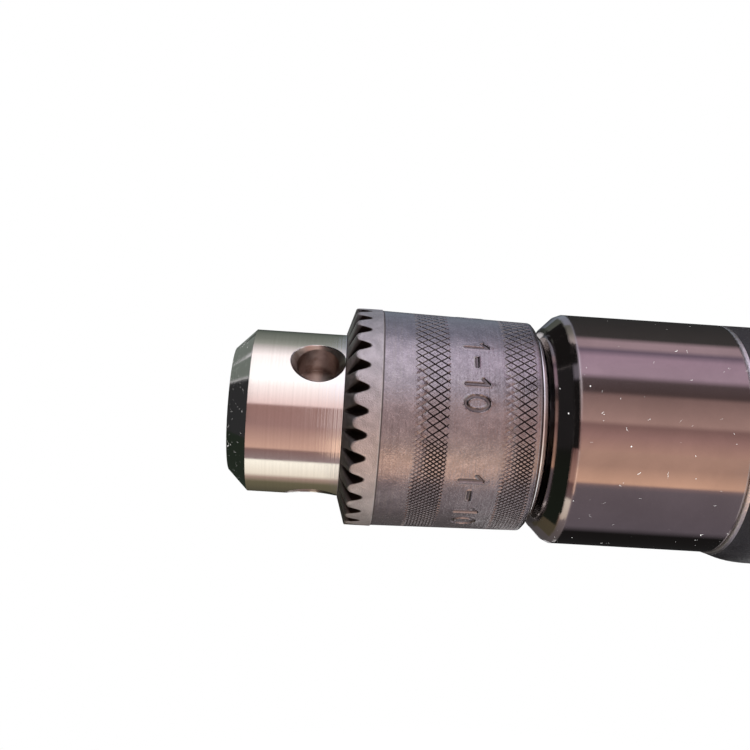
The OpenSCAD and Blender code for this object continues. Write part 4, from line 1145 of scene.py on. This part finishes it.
def build_trigger(sizes):
    """A hollowed finger rest with rounded corners and ribs across it."""
    low, high = (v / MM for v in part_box("trigger"))
    middle, half_h, half_w = (low.z + high.z) / 2, (high.z - low.z) / 2, (high.y - low.y) / 2
    draft = Draft()
    rings = []
    heights = [(-1.0, 1.3), (-0.995, 0.75), (-0.97, 0.35), (-0.93, 0.1)]
    heights += [(t, 0.0) for t in np.linspace(-0.88, 0.88, 45)]
    heights += [(-t, inset) for t, inset in reversed(heights[:4])]
    for t, inset in heights:
        ribbed = sizes.rib_depth / MM * (0.5 - 0.5 * math.cos(t * 0.88 * math.pi * 2 * TRIGGER_RIBS))
        ribbed *= float(smooth_step(0.0, 0.1, 0.82 - abs(t)))
        front = low.x + TRIGGER_DIP * (1 - t * t) + ribbed + inset
        side = half_w - inset
        back = high.x - inset * 0.5
        r = TRIGGER_CORNER - inset * 0.5
        outline = [(back, -side), (front + r, -side)]
        for k in range(1, 8):
            turn = math.pi / 2 * k / 8
            outline.append((front + r - r * math.sin(turn), -side + r - r * math.cos(turn)))
        outline.append((front, -side + r))
        for k in range(1, 4):
            outline.append((front, (-side + r) * (1 - k / 4)))
        outline += [(x, -y) for x, y in reversed(outline[:-1])]
        rings.append([draft.point((x, y, middle + half_h * t)) for x, y in outline])
    draft.solid(rings)
    draft.build("trigger_finger_rest", ["trigger nylon"], "trigger", ["trigger"], 40)


def build_buttons():
    """The two ends of the reversing spool: crowned buttons with rings turned in their faces."""
    low, high = (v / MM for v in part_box("reverse_buttons"))
    x, z = (low.x + high.x) / 2, (low.z + high.z) / 2
    radius = (high.z - low.z) / 2
    length = high.y - (SPOOL_HALF + SPOOL_SHIFT)
    draft = Draft()
    for side in (-1, 1):
        profile = [(radius - 0.25, -1.5), (radius, -1.25), (radius, length - 0.9)]
        profile += [
            (radius - 0.8 * (1 - math.cos(a)), length - 0.9 + 0.6 * math.sin(a))
            for a in np.linspace(0.3, math.pi / 2, 5)
        ]
        for r in np.linspace(radius - 1.1, 0.3, 26):
            crown = 0.3 * (1 - (r / radius) ** 2)
            ringed = 0.12 * float(smooth_step(0.55, 1.0, math.cos(2 * math.pi * r / 0.95))) * (r > 0.6)
            profile.append((r, length - 0.3 + crown - ringed))
        rings = []
        for r, out in profile:
            y = side * (SPOOL_HALF + out) + SPOOL_SHIFT
            rings.append([draft.point((x + r * math.cos(t), y, z + r * math.sin(t))) for t in circle(72)])
        draft.solid(rings)
    draft.build("reverse_buttons_crowned", ["red acetal"], "spool", ["reverse_buttons"], 40)


def build_valve_spring():
    """The coil behind the throttle valve, which in the drill shortens as the trigger goes in; here it is
    built at one length and rides the housing.
    """
    low, high = (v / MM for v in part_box("valve_spring"))
    middle_z = (low.z + high.z) / 2
    radius = (high.z - low.z) / 2 - SPRING_WIRE_R
    steps = SPRING_TURNS * SPRING_STEPS
    rise = high.x - low.x - 2 * SPRING_WIRE_R
    draft = Draft()
    rings = []
    for i in range(steps + 1):
        turn = 2 * math.pi * i / SPRING_STEPS
        x = low.x + SPRING_WIRE_R + rise * float(smooth_step(-0.12, 1.12, i / steps))
        ring = []
        for around in circle(WIRE_SIDES):
            r = radius + SPRING_WIRE_R * math.cos(around)
            place = (x + SPRING_WIRE_R * math.sin(around), r * math.sin(turn), middle_z + r * math.cos(turn))
            ring.append(draft.point(place))
        rings.append(ring)
    draft.solid(rings)
    coil = draft.build(
        "valve_spring_coil", ["spring steel"], "housing", ["valve_spring"], 60,
    )
    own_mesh(coil)


# Stage


def card(name, x_low, x_high, stops, radius=CARD_FAR):
    """A curved card round the spindle. Its stops are angles above the viewer, each with a colour."""
    points, faces, colours = [], [], []
    fine = []
    for (a, first), (b, second) in zip(stops, stops[1:]):
        steps = max(1, int(abs(b - a) / CARD_STEP))
        for k in range(steps):
            t = k / steps
            fine.append((a + (b - a) * t, [p + (q - p) * t for p, q in zip(first, second)]))
    fine.append(stops[-1])
    for angle, colour in fine:
        turn = math.radians(angle)
        for x in (x_low, x_high):
            points.append((x, -radius * math.cos(turn), radius * math.sin(turn)))
            colours.append(rgb(colour))
    for k in range(len(fine) - 1):
        faces.append((2 * k, 2 * k + 1, 2 * k + 3, 2 * k + 2))
    hang_card(name, points, faces, colours)


def hang_card(name, points, faces, colours):
    """A card of points, faces and one colour for each point, which is seen only in reflections."""
    mesh = bpy.data.meshes.new(name)
    mesh.from_pydata(points, [], faces)
    paint = mesh.color_attributes.new("glow", "FLOAT_COLOR", "POINT")
    paint.data.foreach_set("color", [c for colour in colours for c in colour])
    mesh.materials.append(bpy.data.materials["card"])
    piece = new_object(name, mesh)
    piece.visible_camera = False
    piece.visible_diffuse = False
    piece.visible_shadow = False


def card_material():
    nodes, surface = blank_tree(bpy.data.materials.new("card"), "ShaderNodeOutputMaterial")
    glow = nodes.add("ShaderNodeAttribute", {}, attribute_name="glow").outputs["Color"]
    nodes.feed(surface, nodes.add("ShaderNodeEmission", {"Color": glow}).outputs[0])


def white_for_sight(nodes):
    """1 for rays that show the background: from the camera, by reflection and through glass."""
    path = nodes.add("ShaderNodeLightPath", {}).outputs
    seen = nodes.math("MAXIMUM", path["Is Camera Ray"], path["Is Glossy Ray"])
    return nodes.math("MAXIMUM", seen, path["Is Transmission Ray"])


def build_world(stage):
    world = bpy.data.worlds.new("studio")
    bpy.context.scene.world = world
    nodes, surface = blank_tree(world, "ShaderNodeOutputWorld")
    level = stage.sky_level
    colour = nodes.mix(white_for_sight(nodes), rgb((level, level, level * 1.04)), rgb((1, 1, 1)))
    nodes.feed(surface, nodes.add("ShaderNodeBackground", {"Color": colour, "Strength": 1.0}).outputs[0])


def build_floor():
    """A white floor under the lowest point, which keeps the shadow and fades to plain white far off."""
    made = bpy.data.materials.new("floor white")
    nodes, surface = blank_tree(made, "ShaderNodeOutputMaterial")
    plain = nodes.add("ShaderNodeBsdfDiffuse", {"Color": rgb((0.92, 0.92, 0.92))}).outputs[0]
    bright = nodes.add("ShaderNodeEmission", {"Color": rgb((1, 1, 1)), "Strength": 1.0}).outputs[0]
    x, y, _ = nodes.split(nodes.place())
    far = nodes.blend(nodes.rise(nodes.hypot(x, y), 0.05, 0.3), 0.35, 1.0)
    share = nodes.times(far, white_for_sight(nodes))
    nodes.feed(surface, nodes.add("ShaderNodeMixShader", {0: share, 1: plain, 2: bright}).outputs[0])
    half = 4.0
    corners = [(-half, -half, 0), (half, -half, 0), (half, half, 0), (-half, half, 0)]
    mesh = bpy.data.meshes.new("floor")
    mesh.from_pydata(corners, [], [(0, 1, 2, 3)])
    mesh.materials.append(made)
    floor = new_object("floor", mesh)
    floor.location = (0.07, 0, CAD_BOX[0][2])


def build_lamps(stage):
    for name, place, target, size, power in (
        ("lamp_key", (-0.25, -0.45, 0.55), (0.03, 0, 0), 0.35, stage.key_power),
        ("lamp_fill", (0.45, -0.5, 0.1), (0.05, 0, -0.03), 0.4, stage.key_power * 0.35),
        ("lamp_back", (0.2, 0.5, 0.5), (0.05, 0, 0), 0.4, stage.key_power * 0.6),
    ):
        data = bpy.data.lights.new(name, "AREA")
        data.size = size
        data.energy = power
        lamp = new_object(name, data)
        lamp.location = place
        lamp.rotation_euler = (Vector(target) - Vector(place)).to_track_quat("-Z", "Y").to_euler()
        lamp.visible_glossy = False


def build_cards():
    """Above the drill, cards at a distance; below it, cards close enough to clear the floor."""
    dark, olive = (0.02, 0.02, 0.02), (0.022, 0.03, 0.022)
    grey, violet, green = (0.85, 0.85, 0.88), (0.3, 0.3, 0.36), (0.2, 0.23, 0.21)
    back = [(202, grey), (172, grey), (168, dark)]
    chamfer_x, nose_x, sleeve_x, case_x, rear_x = -0.15, -0.065, -0.0115, 0.08, 0.32
    low_nose_x, low_sleeve_x, low_case_x, low_rear_x = -0.05, -0.0125, 0.034, 0.083
    card("card_left_high", CARD_LEFT, chamfer_x, [
        (202, green), (137, green), (136, grey), (133, grey), (132, dark), (-20, dark),
    ])
    card("card_chamfer_high", chamfer_x, nose_x, [
        (202, green), (162, green), (158, dark), (70, dark), (66, violet), (54, violet), (50, dark),
        (-20, dark),
    ])
    card("card_left_low", CARD_LEFT, low_nose_x, [(-18, dark), (-88, olive), (-180, olive)], CARD_NEAR)
    card("card_nose_high", nose_x, sleeve_x, [
        *back, (150, (0.12, 0.14, 0.12)), (120, (0.26, 0.28, 0.25)), (108, (0.4, 0.42, 0.38)),
        (98, (0.8, 0.75, 0.75)), (82, (1.5, 1.4, 1.42)), (45, (1.7, 1.7, 1.72)), (34, (1.45, 1.32, 1.32)),
        (10, (1.15, 0.86, 0.84)), (7, (0.42, 0.24, 0.22)), (-20, (0.44, 0.26, 0.24)),
    ])
    card("card_nose_low", low_nose_x, low_sleeve_x, [
        (-18, (0.44, 0.26, 0.24)), (-50, (0.8, 0.5, 0.4)), (-53, (0.3, 0.18, 0.17)),
        (-68, (0.36, 0.27, 0.27)), (-70, (1.4, 1.35, 1.2)), (-95, (1.1, 1.0, 0.85)),
        (-102, (0.5, 0.36, 0.3)), (-114, (0.18, 0.16, 0.1)), (-180, dark),
    ], CARD_NEAR)
    card("card_sleeve_high", sleeve_x, case_x, [
        *back, (150, (0.3, 0.35, 0.42)), (96, (0.6, 0.63, 0.8)), (72, (1.6, 1.55, 1.85)),
        (32, (1.35, 1.3, 1.5)), (12, (1.05, 0.86, 0.86)), (-20, (0.95, 0.78, 0.76)),
    ])
    card("card_sleeve_low", low_sleeve_x, low_case_x, [
        (-18, (1.0, 0.8, 0.76)), (-30, (1.1, 0.84, 0.72)), (-36, (1.8, 1.3, 1.0)), (-56, (1.8, 1.28, 1.0)),
        (-62, (0.55, 0.45, 0.46)), (-86, (0.45, 0.4, 0.42)), (-118, (0.22, 0.2, 0.2)), (-180, dark),
    ], CARD_NEAR)
    card("card_case_high", case_x, rear_x, [
        *back, (104, (0.1, 0.1, 0.1)), (97, (0.75, 0.6, 0.68)), (90, (0.75, 0.6, 0.68)),
        (84, (0.3, 0.25, 0.35)), (76, (0.8, 0.62, 0.8)), (56, (0.85, 0.68, 0.85)), (50, (0.2, 0.16, 0.17)),
        (38, (0.16, 0.12, 0.12)), (34, (0.5, 0.35, 0.33)), (10, (0.85, 0.6, 0.54)), (6, (0.5, 0.32, 0.3)),
        (-4, (0.75, 0.48, 0.44)), (-20, (1.05, 0.7, 0.56)),
    ])
    card("card_case_low", low_case_x, low_rear_x, [
        (-17, (1.0, 0.68, 0.54)), (-30, (0.95, 0.64, 0.5)), (-46, (1.45, 0.97, 0.7)),
        (-48, (0.45, 0.35, 0.37)), (-52, (0.3, 0.27, 0.31)), (-100, (0.24, 0.22, 0.26)), (-110, dark),
        (-180, dark),
    ], CARD_CASE)
    count = 32
    points = [(CARD_LEFT, CARD_FAR * math.cos(a), CARD_FAR * math.sin(a)) for a in circle(count)]
    hang_card("card_end", points, [tuple(range(count))], [rgb((0.035, 0.036, 0.038))] * count)
    for name, low, high, colour in (
        ("card_end_line", 0.124, 0.13, grey),
        ("card_end_sky", 0.13, CARD_FAR, green),
    ):
        sides = ((0.05, low), (CARD_FAR, low), (CARD_FAR, high), (0.05, high))
        corners = [(CARD_LEFT + 0.002, y, z) for y, z in sides]
        hang_card(name, corners, [(0, 1, 2, 3)], [rgb(colour)] * 4)


def build_camera():
    """The photograph's view: level with the spindle, close to the chuck and turned a little."""
    yaw, pitch, roll = (math.radians(turn) for turn in VIEW_TURNS)
    level = Vector((math.sin(yaw), math.cos(yaw), 0))
    right = Vector((math.cos(yaw), -math.sin(yaw), 0))
    forward = level * math.cos(pitch) - Vector((0, 0, math.sin(pitch)))
    up = level * math.sin(pitch) + Vector((0, 0, math.cos(pitch)))
    x_axis = right * math.cos(roll) + up * math.sin(roll)
    y_axis = up * math.cos(roll) - right * math.sin(roll)
    place = Matrix((x_axis, y_axis, -forward)).transposed().to_4x4()
    place.translation = Vector(VIEW_PLACE)
    data = bpy.data.cameras.new("camera")
    data.sensor_width = SENSOR
    data.lens = FOCAL_PIXELS / FRAME_PIXELS * SENSOR
    data.clip_start = 0.01
    camera = new_object("camera", data)
    camera.matrix_world = place
    bpy.context.scene.camera = camera


# Settings


def length(name, description, default, low, high):
    return FloatProperty(name=name, description=description, default=default, min=low, max=high,
                         subtype="DISTANCE", unit="LENGTH", precision=5)


def number(name, description, default, low, high, step=1):
    return IntProperty(name=name, description=description, default=default, min=low, max=high, step=step)


def colour(name, description, default):
    return FloatVectorProperty(name=name, description=description, default=default, size=3, min=0, max=1,
                               subtype="COLOR")


class DRILL_PG_chuck(PropertyGroup):
    teeth: number("Teeth", "Teeth on the ring for the chuck key", 31, 20, 40)
    tooth_depth: length("Tooth depth", "Depth of the gaps at their outer ends", 0.0021, 0.001, 0.003)
    knurl_crossings: number("Knurl crossings", "Crossings of the knurl round the sleeve", 160, 80, 240, 2)
    knurl_depth: length("Knurl depth", "Depth of the grooves between the diamonds", 0.00016, 0.00005, 0.0004)
    numeral_height: length("Numeral height", "Height of the stamped numerals", 0.00375, 0.002, 0.005)
    numeral_stroke: length("Numeral stroke", "Width of a stamped stroke", 0.0004, 0.0002, 0.0008)
    numeral_depth: length("Numeral depth", "Depth of the stamped numerals", 0.00017, 0.00005, 0.0003)


class DRILL_PG_body(PropertyGroup):
    casting_smoothing: number("Casting smoothing", "Rounds that blend the grip into the barrel", 14, 0, 60)
    rib_depth: length("Rib depth", "Depth of the ribs across the trigger", 0.0004, 0.0, 0.001)


class DRILL_PG_finish(PropertyGroup):
    nose_colour: colour("Nose", "Colour of the bright steel nose", (0.74, 0.71, 0.69))
    ring_colour: colour("Toothed ring", "Colour of the blasted ring", (0.7, 0.66, 0.66))
    sleeve_colour: colour("Sleeve", "Colour of the satin sleeve", (0.23, 0.205, 0.21))
    case_colour: colour("Gear case", "Colour of the black chrome", (0.4, 0.34, 0.33))
    paint_colour: colour("Housing paint", "Colour of the textured paint", (0.015, 0.014, 0.016))
    button_colour: colour("Buttons", "Colour of the reversing buttons", (0.5, 0.04, 0.03))


class DRILL_PG_stage(PropertyGroup):
    key_power: FloatProperty(name="Key lamp", description="Power of the key lamp", default=6.0, min=0.0,
                             max=50.0, subtype="POWER", unit="POWER")
    sky_level: FloatProperty(name="Sky level", description="Light from all round", default=0.55, min=0.0,
                             max=1.0, subtype="FACTOR")


# Operators


class DRILL_OT_finishes(Operator):
    """Builds the finishes and gives every frame node its own"""
    bl_idname = "drill.finishes"
    bl_label = "Finishes"

    def execute(self, context):
        build_effects()
        build_finishes(context.scene.drill_finish)
        dress_frame()
        return {"FINISHED"}


class DRILL_OT_sleeve(Operator):
    """Builds the chuck sleeve with its teeth, knurled bands and stamped numerals"""
    bl_idname = "drill.sleeve"
    bl_label = "Chuck sleeve"

    def execute(self, context):
        build_sleeve(context.scene.drill_chuck)
        return {"FINISHED"}


class DRILL_OT_housing(Operator):
    """Builds the cast housing with its barrel, grip and openings"""
    bl_idname = "drill.housing"
    bl_label = "Housing"

    def execute(self, context):
        build_housing(context.scene.drill_body)
        return {"FINISHED"}


class DRILL_OT_controls(Operator):
    """Builds the trigger, the reversing buttons and the valve spring"""
    bl_idname = "drill.controls"
    bl_label = "Controls"

    def execute(self, context):
        build_trigger(context.scene.drill_body)
        build_buttons()
        build_valve_spring()
        return {"FINISHED"}


class DRILL_OT_stage(Operator):
    """Builds the camera, the floor, the lamps and the cards that the metal reflects"""
    bl_idname = "drill.stage"
    bl_label = "Stage"

    def execute(self, context):
        stage = context.scene.drill_stage
        context.scene.view_settings.view_transform = "Standard"
        build_camera()
        build_world(stage)
        build_floor()
        build_lamps(stage)
        card_material()
        build_cards()
        return {"FINISHED"}


class DRILL_PT_panel(Panel):
    """Sizes, colours and steps of the drill"""
    bl_label = "Drill"
    bl_idname = "DRILL_PT_panel"
    bl_space_type = "VIEW_3D"
    bl_region_type = "UI"
    bl_category = "Drill"

    def draw(self, context):
        scene = context.scene
        for group in (scene.drill_chuck, scene.drill_body, scene.drill_finish, scene.drill_stage):
            box = self.layout.box()
            for key in group.bl_rna.properties.keys():
                if key not in ("rna_type", "name"):
                    box.prop(group, key)
        for step in STEPS:
            self.layout.operator(step.bl_idname)


GROUPS = {
    "drill_chuck": DRILL_PG_chuck,
    "drill_body": DRILL_PG_body,
    "drill_finish": DRILL_PG_finish,
    "drill_stage": DRILL_PG_stage,
}
STEPS = (DRILL_OT_finishes, DRILL_OT_sleeve, DRILL_OT_housing, DRILL_OT_controls, DRILL_OT_stage)


def register():
    for group in (*GROUPS.values(), *STEPS, DRILL_PT_panel):
        bpy.utils.register_class(group)
    for name, group in GROUPS.items():
        setattr(bpy.types.Scene, name, PointerProperty(type=group))


def unregister():
    for name in GROUPS:
        delattr(bpy.types.Scene, name)
    for group in (DRILL_PT_panel, *reversed(STEPS), *GROUPS.values()):
        bpy.utils.unregister_class(group)


def main():
    register()
    bpy.ops.drill.finishes()
    bpy.ops.drill.sleeve()
    bpy.ops.drill.housing()
    bpy.ops.drill.controls()
    bpy.ops.drill.stage()


if __name__ == "__main__":
    main()
